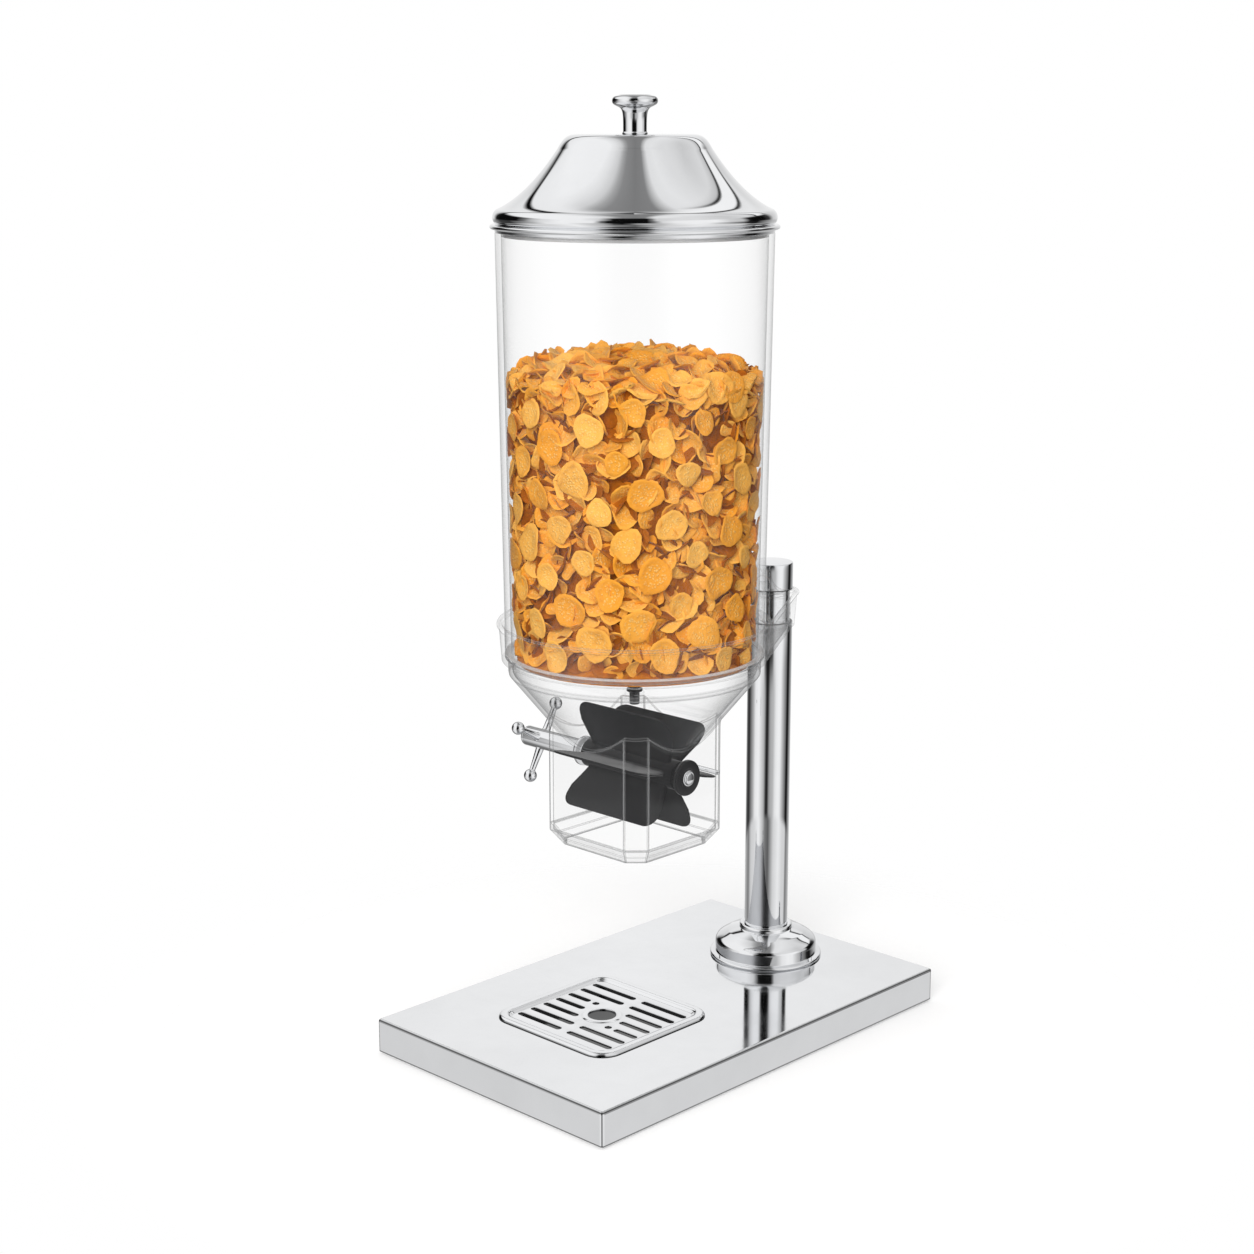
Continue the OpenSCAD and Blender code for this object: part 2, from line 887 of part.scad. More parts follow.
module handle_hub() {
    color([0.86, 0.87, 0.89])
        difference() {
            along_shaft()
                rotate_extrude()
                    polygon([
                        [0, hub_end_x], [hub_r - 0.4, hub_end_x], [hub_r, hub_end_x + 0.4],
                        [hub_r, hub_x - 0.6], [hub_r - 0.6, hub_x], [0, hub_x]
                    ]);
            along_shaft(hub_x - 22)
                cylinder(r = shaft_r + thread_gap, h = 23);
            along_shaft(hub_end_x - 1)
                cylinder(r = stud_r + thread_gap, h = 8);
            at_arms()
                translate([0, 0, hub_r - 3])
                    cylinder(r = stud_r + thread_gap, h = 6);
            translate([screw_x, axis_y, wheel_z])
                rotate([90, 0, 0])
                    cylinder(r = stud_r + thread_gap, h = 2 * hub_r);
        }
}

module handle_arms() {
    foot = hub_r - 0.05;
    color([0.87, 0.88, 0.9])
        at_arms() {
            difference() {
                translate([0, 0, foot])
                    cylinder(r1 = arm_root_r, r2 = arm_tip_r, h = arm_reach - foot);
                rotate([0, 90, 0])
                    cylinder(r = hub_r + 0.02, h = 20, center = true);
            }
            translate([0, 0, hub_r - 2.8])
                cylinder(r = stud_r, h = 6);
            translate([0, 0, arm_reach])
                sphere(d = ball_d);
        }
}

module hub_screw() {
    color([0.3, 0.3, 0.32])
        translate([screw_x, axis_y, wheel_z])
            rotate([90, 0, 0])
                translate([0, 0, shaft_r + 0.1])
                    difference() {
                        cylinder(r = stud_r, h = hub_r - shaft_r - 0.5);
                        translate([0, 0, 1.4])
                            cylinder(r = 1.1, h = 3, $fn = 6);
                    }
}

module hub_cap() {
    t = 3.6;
    color([0.87, 0.88, 0.9])
        along_shaft(hub_end_x)
            rotate_extrude()
                polygon(concat(
                    [[0, 6], [stud_r, 6], [stud_r, 0], [hub_r, 0]],
                    curve([hub_r, -t * 0.35], [hub_r, -t * 0.85], [hub_r * 0.6, -t], [0, -t])
                ));
}

// ---- canister and food

module canister() {
    edge = 0.8;
    top = canister_top;
    color([0.86, 0.9, 0.92, 0.3])
        at_axis()
            rotate_extrude()
                polygon([
                    [canister_r - canister_wall, canister_z], [canister_r - edge, canister_z],
                    [canister_r, canister_z + edge], [canister_top_r, top - edge],
                    [canister_top_r - edge, top], [canister_top_r - canister_wall, top]
                ]);
}

// inner wall of the canister that the food keeps clear of
function food_at(z) = canister_at(z) - canister_wall - food_gap;

// height of the heaped top at a radius
function crown_at(r) = food_edge_z + food_crown * (1 - pow(r / food_at(food_edge_z), 2.6));

// one flat flake with its face towards +Z, tipped towards the way that spin names
module flake(spin) {
    rotate([0, 0, spin])
        rotate([flake_tilt, 0, 0])
            linear_extrude(height = flake_thick, center = true)
                polygon([for (a = [0:45:315]) flake_size / 2 * (1 + 0.1 * cos(2 * a)) * [cos(a), sin(a)]]);
}

// flakes round the side, each a golden turn further on and a little higher than the last
module side_flakes(low) {
    first = low + 14;
    rise = food_edge_z - 8 - first;
    count = round(2 * PI * canister_r * rise / (flake_pitch * flake_pitch));
    for (k = [0:count - 1])
        rotate([0, 0, k * golden_turn])
            translate([food_at(first + rise * k / count) - flake_depth, 0, first + rise * k / count])
                rotate([0, 90, 0])
                    flake(k * 73);
}

// flakes on the heaped top, laid out like seeds in a flower head
module top_flakes() {
    reach = food_at(food_edge_z) - flake_depth - flake_size / 2;
    count = round(PI * reach * reach / (flake_pitch * flake_pitch)) + 4;
    for (k = [0:count - 1]) {
        r = reach * sqrt((k + 0.5) / count);
        rotate([0, 0, k * golden_turn])
            translate([r, 0, crown_at(r) - flake_depth * 0.4])
                flake(k * 97);
    }
}

module cereal_fill() {
    low = canister_z + 0.2;
    foot_r = food_at(low);
    edge_r = food_at(food_edge_z);
    sunk = flake_depth * 0.6;
    color([0.9, 0.62, 0.24])
        difference() {
            at_axis() {
                rotate_extrude()
                    polygon(concat(
                        [[0, low], [foot_r - 0.6, low], [foot_r, low + 1], [foot_r, low + 2]],
                        [[foot_r - flake_depth, low + 4], [edge_r - flake_depth, food_edge_z - 3]],
                        [for (t = [0.9:-0.15:0]) [edge_r * t, crown_at(edge_r * t) - sunk]],
                        [[0, crown_at(0) - sunk]]
                    ));
                side_flakes(low);
                top_flakes();
            }
            at_axis(low - 1)
                cylinder(r = agitator_r + 0.8, h = agitator_top + 1.5 - low);
        }
}

// ---- lid

// outside line of the lid's sheet, from the knob's stem down to the rim
lid_line = concat(
    [[knob_stem_r, lid_top]],
    curve([38, lid_top], [44.5, lid_top], [47.2, lid_top - 3.4], [50.5, lid_top - 9.4]),
    curve([51.2, lid_top - 10.4], [57, lid_top - 18.8], [70, lid_top - 37],
        [canister_top_r - 4.4, lid_top - 46.4]),
    curve([canister_top_r - 2.2, lid_top - 47.6], [canister_top_r + 0.8, lid_top - 49.2],
        [canister_top_r + 1.3, lid_top - 52.4], [canister_top_r - 0.3, lid_z + bead_h - 0.6], 6)
);

// section of the lid's sheet between two points of its line, the upper edge drawn back by gap
module lid_section(first, last, gap = 0) {
    inner = inset(lid_line, lid_sheet);
    polygon(concat(
        [lid_line[first] + gap * unit(lid_line[first + 1] - lid_line[first])],
        [for (i = [first + 1:last]) lid_line[i]],
        [for (i = [last:-1:first + 1]) inner[i]],
        [inner[first] + gap * unit(inner[first + 1] - inner[first])]
    ));
}

module lid_crown() {
    color([0.85, 0.86, 0.88])
        at_axis()
            rotate_extrude() {
                lid_section(0, lid_shoulder);
                translate([screw_r + 0.2, lid_top - lid_sheet])
                    square([knob_stem_r - screw_r, lid_sheet]);
            }
}

module lid_shell() {
    color([0.85, 0.86, 0.88])
        at_axis()
            rotate_extrude()
                lid_section(lid_shoulder, len(lid_line) - 1, rest_gap);
}

module lid_rim() {
    z = lid_z;
    top = z + bead_h - 0.6 - rest_gap;
    color([0.85, 0.86, 0.88])
        at_axis()
            rotate_extrude()
                polygon(concat(
                    [[skirt_r - lid_sheet, z - skirt_h], [skirt_r - lid_sheet, top]],
                    curve([bead_r - 1.6, top], [bead_r + 0.9, top - 0.6],
                        [bead_r + 0.3, z + 2.6], [bead_r - 2.4, z], 6),
                    [[skirt_r, z], [skirt_r, z - skirt_h]]
                ));
}

module lid_knob() {
    r = knob_d / 2;
    z = lid_top;
    top = z + knob_h;
    s = knob_stem_r;
    in = screw_r + thread_gap;
    color([0.86, 0.87, 0.89])
        at_axis()
            rotate_extrude()
                polygon(concat(
                    [[0, z + 13], [in, z + 13], [in, z], [s + 0.6, z], [s + 0.6, z + 0.8]],
                    curve([s, z + 1.6], [s, z + knob_h * 0.55], [s, top - 9], [r - 3.4, top - 7.6]),
                    arc(r - 3, top - 4, 3, -60, 90, 8),
                    curve([r - 5, top - 0.3], [r - 8, top - 1], [r * 0.3, top - 1.3], [0, top - 1.3], 5)
                ));
}

module knob_washer() {
    color([0.75, 0.76, 0.78])
        at_axis(lid_top - lid_sheet - 1)
            tube(7, screw_r + 0.2, 1);
}

module knob_screw() {
    head_h = 3;
    z = lid_top - lid_sheet - 1 - head_h;
    color([0.7, 0.71, 0.73])
        at_axis(z)
            difference() {
                union() {
                    cylinder(r = 4.5, h = head_h);
                    cylinder(r = screw_r, h = head_h + 1 + lid_sheet + 11);
                }
                translate([0, 0, -1])
                    cylinder(r = 2, h = 2.8, $fn = 6);
            }
}

module lid_seal() {
    color([0.92, 0.92, 0.9])
        at_axis(lid_z - skirt_h + 0.6)
            tube(seal_r, skirt_r, 3);
}

base_shell();
base_plate();
base_standoffs();
base_feet();
foot_screws();
post_backing_plate();
post_flange();
post_tube();
tie_rod();
tie_washer();
tie_nut();
post_spigot();
post_cap();
sleeve_washers();
crumb_tray();
tray_grille();
bracket_ring();
hopper();
hopper_bridge();
chamber();
seat_gasket();
agitator_rod();
wiper_rod();
handle_bush();
end_bush();
paddle_wheel();
drive_shaft();
shaft_clip();
drive_pin();
handle_hub();
handle_arms();
hub_screw();
hub_cap();
canister();
cereal_fill();
lid_crown();
lid_shell();
lid_rim();
lid_knob();
knob_screw();
knob_washer();
lid_seal();
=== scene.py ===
import random
from math import atan2, cos, pi, radians, sin, sqrt, tan

import bmesh
import bpy
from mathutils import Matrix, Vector


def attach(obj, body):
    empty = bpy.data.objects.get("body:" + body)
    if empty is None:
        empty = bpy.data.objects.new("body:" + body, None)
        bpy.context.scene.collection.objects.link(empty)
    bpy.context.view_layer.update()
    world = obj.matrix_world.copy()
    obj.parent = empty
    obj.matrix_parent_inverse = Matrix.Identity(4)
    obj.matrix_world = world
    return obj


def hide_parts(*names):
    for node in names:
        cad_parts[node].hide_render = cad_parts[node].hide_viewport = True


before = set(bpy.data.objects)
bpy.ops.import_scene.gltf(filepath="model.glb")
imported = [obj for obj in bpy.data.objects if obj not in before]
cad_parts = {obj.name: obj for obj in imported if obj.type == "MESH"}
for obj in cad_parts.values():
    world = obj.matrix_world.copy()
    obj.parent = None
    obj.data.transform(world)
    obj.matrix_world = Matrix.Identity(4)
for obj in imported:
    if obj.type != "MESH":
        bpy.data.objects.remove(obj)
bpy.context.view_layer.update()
print("frame loaded with", len(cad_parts), "nodes")

place = {  # main axes and levels in millimetres, the same as in the source
    "postY": 112.5,
    "axisY": -29.5,
    "wheelZ": 202.0,
    "baseTop": 25.5,
    "trayY": -62.0,
}


# outlines, in millimetres

def arc(x, y, r, start, end, steps=6):
    turns = [radians(start + (end - start) * i / steps) for i in range(steps + 1)]
    return [(x + r * cos(a), y + r * sin(a)) for a in turns]


def bend(p, q, r, s, steps=12):  # cubic curve between p and s with handles q and r
    line = []
    for i in range(steps + 1):
        t = i / steps
        u = 1 - t
        line.append(tuple(u ** 3 * a + 3 * u * u * t * b + 3 * u * t * t * c + t ** 3 * d
                          for a, b, c, d in zip(p, q, r, s)))
    return line


# rounds the corners that turn by more than 25 degrees
def softened(line, radius=0.3, steps=3, closed=True):
    made = []
    for i, point in enumerate(line):
        here = Vector(point[:2])
        own = point[2] if len(point) > 2 else radius
        back = Vector(line[i - 1][:2]) - here
        ahead = Vector(line[(i + 1) % len(line)][:2]) - here
        ends = not closed and i in (0, len(line) - 1)
        if ends or own <= 0 or here.x < 1e-6 or min(back.length, ahead.length) < 1e-6:
            made.append(tuple(here))
            continue
        opening = back.angle(ahead)
        if opening > radians(155):
            made.append(tuple(here))
            continue
        cut = min(own / tan(opening / 2), 0.45 * back.length, 0.45 * ahead.length)
        size = cut * tan(opening / 2)
        toBack, toAhead = back.normalized(), ahead.normalized()
        start, end = here + toBack * cut, here + toAhead * cut
        middle = here + (toBack + toAhead).normalized() * (size / sin(opening / 2))
        for k in range(steps + 1):
            spoke = (start - middle).lerp(end - middle, k / steps)
            made.append(tuple(middle + spoke.normalized() * size))
    return made


def insetLine(line, distance):  # the same line moved to its right-hand side
    made = []
    for i, point in enumerate(line):
        a, b = Vector(line[max(i - 1, 0)]), Vector(line[min(i + 1, len(line) - 1)])
        way = (b - a).normalized()
        made.append((point[0] + distance * way.y, point[1] - distance * way.x))
    return made


def roundRectangle(width, depth, corner, grow=0.0, middle=(0, 0), steps=8):
    loop = []
    for sx, sy, start in ((1, 1, 0), (-1, 1, 90), (-1, -1, 180), (1, -1, 270)):
        x, y = middle[0] + sx * (width / 2 - corner), middle[1] + sy * (depth / 2 - corner)
        loop += arc(x, y, corner + grow, start, start + 90, steps)
    return loop


def circleLoop(x, y, radius, steps=48):
    return arc(x, y, radius, 0, 360 * (steps - 1) / steps, steps - 1)


# meshes

def finishMesh(name, form, sharp=35):
    bmesh.ops.remove_doubles(form, verts=form.verts, dist=2e-6)
    bmesh.ops.dissolve_degenerate(form, edges=form.edges, dist=1e-6)
    bmesh.ops.recalc_face_normals(form, faces=form.faces)
    mesh = bpy.data.meshes.new(name)
    form.to_mesh(mesh)
    form.free()
    mesh.shade_smooth()
    mesh.set_sharp_from_angle(angle=radians(sharp))
    return mesh


def meshFrom(name, points, faces, sharp=35, cornerValues=None, layer="paintedEdgeLine"):
    form = bmesh.new()
    line = form.verts.layers.float.new(layer) if cornerValues else None
    corners = [form.verts.new(Vector(p) * 0.001) for p in points]
    # per corner: for a clear moulding, how much painted dark edge line it carries; for a flake, its
    # share out to the rim
    for corner, value in zip(corners, cornerValues or ()):
        corner[line] = value
    for face in faces:
        form.faces.new([corners[i] for i in face])
    return finishMesh(name, form, sharp)


def latheMesh(name, outline, along="Z", centre=(0, 0, 0), steps=128, sharp=35):
    points, rings = [], []
    for radius, height in outline:
        if radius < 1e-6:
            rings.append([len(points)])
            points.append((0, 0, height))
        else:
            rings.append(list(range(len(points), len(points) + steps)))
            points += [(radius * cos(2 * pi * i / steps), radius * sin(2 * pi * i / steps), height)
                       for i in range(steps)]
    solid = outline[0][0] < 1e-6 and outline[-1][0] < 1e-6  # the axis closes it, otherwise it is a ring
    faces = []
    for i in range(len(rings) - 1 if solid else len(rings)):
        low, high = rings[i], rings[(i + 1) % len(rings)]
        for k in range(steps if len(low) + len(high) > 2 else 0):
            n = (k + 1) % steps
            if len(low) == 1:
                faces.append((low[0], high[k], high[n]))
            elif len(high) == 1:
                faces.append((low[k], low[n], high[0]))
            else:
                faces.append((low[k], low[n], high[n], high[k]))
    if along == "X":
        points = [(z, y, -x) for x, y, z in points]
    points = [tuple(a + b for a, b in zip(p, centre)) for p in points]
    return meshFrom(name, points, faces, sharp)


# each edge is a chain of (loop, height) from the top to the underside
def plateMesh(name, outer, holes=(), sharp=35):
    form = bmesh.new()
    shade = form.verts.layers.float.new("shade")
    ends = ([], [])
    for chain in [outer, *holes]:
        before = None
        # a third value paints shade, or a dark reflection line, into the metal's colour there
        for step, (loop, height, *paintedDark) in enumerate(chain):
            ring = [form.verts.new((x * 0.001, y * 0.001, height * 0.001)) for x, y in loop]
            for corner in ring if paintedDark else ():
                corner[shade] = paintedDark[0]
            if before:
                for k in range(len(ring)):
                    form.faces.new((before[k], before[k - 1], ring[k - 1], ring[k]))
            if step in (0, len(chain) - 1):
                pairs = [(ring[k - 1], ring[k]) for k in range(len(ring))]
                edges = [form.edges.get(pair) or form.edges.new(pair) for pair in pairs]
                ends[0 if step == 0 else 1].extend(edges)
            before = ring
    for edges in ends:
        bmesh.ops.triangle_fill(form, use_beauty=True, use_dissolve=False, edges=edges)
    return finishMesh(name, form, sharp)


def joinedMesh(name, meshes, sharp=35):
    form = bmesh.new()
    for mesh in meshes:
        form.from_mesh(mesh)
        bpy.data.meshes.remove(mesh)
    mesh = bpy.data.meshes.new(name)
    form.to_mesh(mesh)
    form.free()
    mesh.shade_smooth()
    mesh.set_sharp_from_angle(angle=radians(sharp))
    return mesh


def addPiece(name, mesh, finish, body, slot, *nodes, mirrored=True):
    piece = bpy.data.objects.new(name, mesh)
    piece.visible_glossy = mirrored  # what is False doesn't show in polished metal
    bpy.context.scene.collection.objects.link(piece)
    mesh.materials.clear()
    mesh.materials.append(finish)
    if nodes:
        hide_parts(*nodes)
    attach(piece, body)
    return piece


# node trees

class Wire:  # a socket that can be used in sums
    def __init__(self, board, socket):
        self.board = board
        self.socket = socket

    def sum(self, operation, first, second):
        return self.board.node("ShaderNodeMath", {"operation": operation}, {0: first, 1: second})

    def __add__(self, other):
        return self.sum("ADD", self, other)

    def __radd__(self, other):
        return self.sum("ADD", other, self)

    def __sub__(self, other):
        return self.sum("SUBTRACT", self, other)

    def __rsub__(self, other):
        return self.sum("SUBTRACT", other, self)

    def __mul__(self, other):
        return self.sum("MULTIPLY", self, other)

    def __rmul__(self, other):
        return self.sum("MULTIPLY", other, self)

    def __truediv__(self, other):
        return self.sum("DIVIDE", self, other)

    def __rtruediv__(self, other):
        return self.sum("DIVIDE", other, self)

    def __pow__(self, other):
        return self.sum("POWER", self, other)


class Board:
    def __init__(self, tree):
        self.tree = tree

    def node(self, kind, settings=None, sockets=None, out=0):
        made = self.tree.nodes.new(kind)
        for name, value in (settings or {}).items():
            if name == "stops":
                ramp = made.color_ramp
                while len(ramp.elements) > 1:
                    ramp.elements.remove(ramp.elements[-1])
                for i, (where, colour) in enumerate(value):
                    stop = ramp.elements.new(where) if i else ramp.elements[0]
                    stop.position = where
                    stop.color = colour
            else:
                setattr(made, name, value)
        for key, value in (sockets or {}).items():
            if isinstance(value, Wire):
                self.tree.links.new(value.socket, made.inputs[key])
            else:
                made.inputs[key].default_value = value
        return Wire(self, made.outputs[out]) if len(made.outputs) else made

    def position(self):
        return self.node("ShaderNodeTexCoord", out=3)

    def scaled(self, vector, amount, shift=(0, 0, 0)):
        return self.node("ShaderNodeVectorMath", {"operation": "MULTIPLY_ADD"},
                         {0: vector, 1: amount, 2: shift})

    def noise(self, vector, scale, detail=3.0, rough=0.5, twist=0.0):
        return self.node("ShaderNodeTexNoise", None, {
            "Vector": vector, "Scale": scale, "Detail": detail, "Roughness": rough,
            "Distortion": twist})

    def between(self, value, low, high, toLow=0.0, toHigh=1.0, smooth=False):
        kind = "SMOOTHSTEP" if smooth else "LINEAR"
        return self.node("ShaderNodeMapRange", {"interpolation_type": kind}, {
            "Value": value, "From Min": low, "From Max": high, "To Min": toLow, "To Max": toHigh})

    def mixed(self, amount, first, second):
        return self.node("ShaderNodeMix", {"data_type": "RGBA"}, {0: amount, 6: first, 7: second},
                         out=2)

    def bump(self, height, strength, distance, normal=None):
        sockets = {"Height": height, "Strength": strength, "Distance": distance}
        if normal:
            sockets["Normal"] = normal
        return self.node("ShaderNodeBump", None, sockets)


def newFinish(name, build):
    made = bpy.data.materials.new(name)
    made.use_nodes = True
    made.node_tree.nodes.clear()
    board = Board(made.node_tree)
    board.node("ShaderNodeOutputMaterial", None, {"Surface": build(board)})
    return made


def grey(value, alpha=1.0):
    return (value, value, value, alpha)


def toLight(level):  # display level 0-255 to linear light
    v = level / 255
    return v / 12.92 if v <= 0.04045 else ((v + 0.055) / 1.055) ** 2.4


# finishes

steelLook = {
    "tint": (0.865, 0.872, 0.885),
    "polish": 0.02,        # roughness of the cleanest places
    "smudge": 0.035,       # what handling adds to it
    "shade": 0.03,         # painted shade colour inside slots and under edges, also painted dark reflection lines
    "markWidth": 1.1,      # millimetres between turning marks
    "markDepth": 0.003,
    "waveWidth": 60.0,     # millimetres between the slow waves of pressed sheet
    "outline": (0.5, 0.72),  # where small turned parts begin to take a painted dark reflection, towards grazing angles
}


def steelFinish(name, spin=None, centre=(0, 0, 0), polish=None, wave=None, brushed=None, tint=None,
                paintedDarkRim=0.0):
    polish = steelLook["polish"] if polish is None else polish

    def build(board):
        where = board.position()
        cloud = board.noise(where, 22.0, 4.0, 0.6)
        fine = board.noise(where, 260.0, 2.0)
        rough = polish + board.between(cloud, 0.42, 0.72) * steelLook["smudge"] + fine * 0.01
        cool = tint or steelLook["tint"]
        dull = tuple(v * 0.95 for v in cool)
        colour = board.mixed(board.between(cloud, 0.35, 0.75), (*cool, 1), (*dull, 1))
        # painted shade: the shade attribute darkens the colour in slots, the tray's well and under
        # edges, and gives dark reflection lines on the base's rounded edges
        shade = board.node("ShaderNodeAttribute", {"attribute_name": "shade"}, out=2)
        # painted dark reflection: the colour turns dark grey towards grazing angles
        if paintedDarkRim:
            facing = board.node("ShaderNodeLayerWeight", None, {"Blend": 0.5}, out=1)
            rim = board.between(facing, *steelLook["outline"], smooth=True)
            rim = rim * board.between(facing, 0.86, 0.97, 1.0, 0.35)
            colour = board.mixed(rim * paintedDarkRim, colour, grey(steelLook["shade"]))
        colour = board.mixed(shade, colour, grey(steelLook["shade"]))
        normal = None
        if wave:
            slow = board.noise(where, 1000 / steelLook["waveWidth"], 1.0)
            normal = board.bump(slow, wave, 0.002)
        if spin:  # marks that run round the axis
            flat = (1, 1, 0) if spin == "Z" else (0, 1, 1)
            shift = tuple(-0.001 * c * f for c, f in zip(centre, flat))
            radial = board.node("ShaderNodeVectorMath", {"operation": "LENGTH"},
                                {0: board.scaled(where, flat, shift)}, out=1)
            height = board.node("ShaderNodeSeparateXYZ", None, {0: where}, out=2 if spin == "Z" else 0)
            line = board.node("ShaderNodeCombineXYZ", None, {"X": radial, "Z": height})
            marks = board.noise(line, 1000 / steelLook["markWidth"], 3.0, 0.6)
            normal = board.bump(marks, steelLook["markDepth"], 0.0004, normal)
        if brushed:
            strokes = board.noise(board.scaled(where, brushed), 1.0, 4.0, 0.7)
            rough = rough + strokes * 0.12
            normal = board.bump(strokes, 0.05, 0.0005, normal)
        sockets = {"Base Color": colour, "Metallic": 1.0, "Roughness": rough}
        if normal:
            sockets["Normal"] = normal
        return board.node("ShaderNodeBsdfPrincipled", None, sockets)

    return newFinish(name, build)


clearLook = {
    "straight": 0.03,      # what it mirrors when seen straight on
    "edgePower": 5.0,      # how thin the painted grey edge is
    # painted edge shade: the grey that the see-through turns to at grazing angles, standing in for
    # refraction
    "edgeGrey": 0.42,
    "through": 0.99,       # light that one surface lets through
    "line": 0.62,          # how strongly moulded edges show as painted dark lines, standing in for refraction in their rounding
    "grazing": 0.6,        # what it mirrors more when seen from the side
    "polish": 0.02,
}


def clearFinish(name, straight=None, edgeGrey=None, edgePower=None, veil=0.0, through=None,
                grazing=None):
    straight = clearLook["straight"] if straight is None else straight
    edgeGrey = clearLook["edgeGrey"] if edgeGrey is None else edgeGrey
    edgePower = clearLook["edgePower"] if edgePower is None else edgePower
    through = clearLook["through"] if through is None else through
    grazing = clearLook["grazing"] if grazing is None else grazing

    def build(board):
        where = board.position()
        facing = board.node("ShaderNodeLayerWeight", None, {"Blend": 0.5}, out=1)
        gloss = straight + (1 - straight) * grazing * facing ** 6
        cloud = board.noise(where, 30.0, 3.0)
        inside = board.node("ShaderNodeBsdfTransparent", None, {"Color": grey(through)})
        # painted edge shade: grey see-through towards grazing angles, standing in for refraction
        side = board.node("ShaderNodeBsdfTransparent", None, {"Color": grey(edgeGrey)})
        body = board.node("ShaderNodeMixShader", None, {0: facing ** edgePower, 1: inside, 2: side})
        ripple = board.bump(board.noise(where, 45.0, 1.0), 0.03, 0.001)
        shine = board.node("ShaderNodeBsdfPrincipled", None, {
            "Base Color": (0.95, 0.96, 0.97, 1), "Metallic": 1.0,
            "Roughness": clearLook["polish"] + board.between(cloud, 0.4, 0.8) * 0.04, "Normal": ripple})
        made = board.node("ShaderNodeMixShader", None, {0: gloss, 1: body, 2: shine})
        if veil:
            haze = board.node("ShaderNodeBsdfPrincipled", None,
                              {"Base Color": (0.9, 0.91, 0.92, 1), "Roughness": 0.35})
            share = board.between(cloud, 0.3, 0.7, veil * 0.8, veil * 1.2)
            made = board.node("ShaderNodeMixShader", None, {0: share, 1: made, 2: haze})
        # painted dark lines along moulded edges, standing in for refraction
        edge = board.node("ShaderNodeAttribute", {"attribute_name": "paintedEdgeLine"}, out=2)
        paintedEdgeShade = board.node("ShaderNodeBsdfPrincipled", None,
                           {"Base Color": (0.26, 0.265, 0.27, 1), "Roughness": 0.25})
        return board.node("ShaderNodeMixShader", None, {0: edge * clearLook["line"], 1: made, 2: paintedEdgeShade})

    return newFinish(name, build)


darkLook = {"dust": 0.35, "paler": 0.02, "grain": 500.0, "grainDepth": 0.08}


def darkFinish(name, colour, rough, grain=darkLook["grain"], depth=darkLook["grainDepth"], gloss=0.5):
    def build(board):
        where = board.position()
        bumps = board.noise(where, grain, 3.0, 0.6)
        cloud = board.noise(where, 35.0, 4.0, 0.6)
        pale = tuple(c + darkLook["paler"] for c in colour)
        tone = board.mixed(board.between(cloud, 0.4, 0.75, 0.0, darkLook["dust"]), (*colour, 1),
                           (*pale, 1))
        return board.node("ShaderNodeBsdfPrincipled", None, {
            "Base Color": tone, "Roughness": board.between(cloud, 0.3, 0.8, rough - 0.07, rough + 0.1),
            "Normal": board.bump(bumps, depth, 0.0003), "Specular IOR Level": gloss})

    return newFinish(name, build)


flakeLook = {
    "pale": (0.93, 0.48, 0.09, 1),
    "golden": (0.85, 0.33, 0.022, 1),
    # the toasted colour, also used as painted shade
    "toastedAndShade": (0.50, 0.14, 0.006, 1),
    # painted shade: the colour of flakes deep in the pile, between the others
    "gap": (0.30, 0.085, 0.004, 1),
    "speck": (1.0, 0.70, 0.26, 1),
    "speckWidth": 1.7,     # millimetres between the pale specks
    "speckShare": 0.6,
    "valley": 0.22,        # painted shade: how brown the sunken ring inside the rim is
    "toast": 0.4,          # how brown the toasted patches are
    "rimRise": 0.6,
    "speckRise": 0.45,
    "blisterRise": 0.7,
    "relief": 0.75,
}


# a raised smooth rim round a pale grainy middle, or two plain colours that paint shade deep in the pile
def flakeFinish(name, plain=None):
    def build(board):
        where = board.position()
        patch = board.noise(where, 120.0, 3.0, 0.6, 0.6)
        blister = board.noise(where, 420.0, 3.0, 0.55)
        specks = board.node("ShaderNodeTexVoronoi", None,
                            {"Vector": where, "Scale": 1000 / flakeLook["speckWidth"]})
        dots = board.between(specks, 0.15, 0.5, 1.0, 0.0)
        if plain:
            colour = board.mixed(board.between(patch, 0.4, 0.8), flakeLook[plain[0]],
                                 flakeLook[plain[1]])
            height = blister
        else:
            tone = board.node("ShaderNodeAttribute", {"attribute_name": "tone"}, out=2)
            out = board.node("ShaderNodeAttribute", {"attribute_name": "rim"}, out=2)
            middle = board.between(out, 0.6, 0.84, 1.0, 0.0)
            # rims come and go
            strong = board.between(board.noise(where, 150.0, 1.0), 0.35, 0.65, 0.1, 1.0)
            crest = board.between(out, 0.9, 1.0, 1.0, 0.5)
            ridge = board.between(out, 0.6, 0.88, smooth=True) * crest * strong
            # painted shade in the sunken ring inside the rim; the toasted patches are the flake's own
            # colour
            valley = board.between(out, 0.4, 0.7) * board.between(out, 0.74, 0.88, 1.0, 0.0) * strong
            colour = board.mixed(tone, flakeLook["golden"], flakeLook["pale"])
            colour = board.mixed(dots * middle * flakeLook["speckShare"], colour, flakeLook["speck"])
            toast = board.between(patch, 0.55, 0.8, 0.0, flakeLook["toast"])
            toastAndValleyShade = valley * flakeLook["valley"] + toast
            colour = board.mixed(toastAndValleyShade, colour, flakeLook["toastedAndShade"])
            height = ridge * flakeLook["rimRise"] + dots * middle * flakeLook["speckRise"]
            height = height + blister * flakeLook["blisterRise"]
        normal = board.bump(height, flakeLook["relief"], 0.0011)
        return board.node("ShaderNodeBsdfPrincipled", None, {
            "Base Color": colour, "Roughness": board.between(blister, 0.3, 0.7, 0.45, 0.65),
            "Normal": normal, "Specular IOR Level": 0.3})

    return newFinish(name, build)


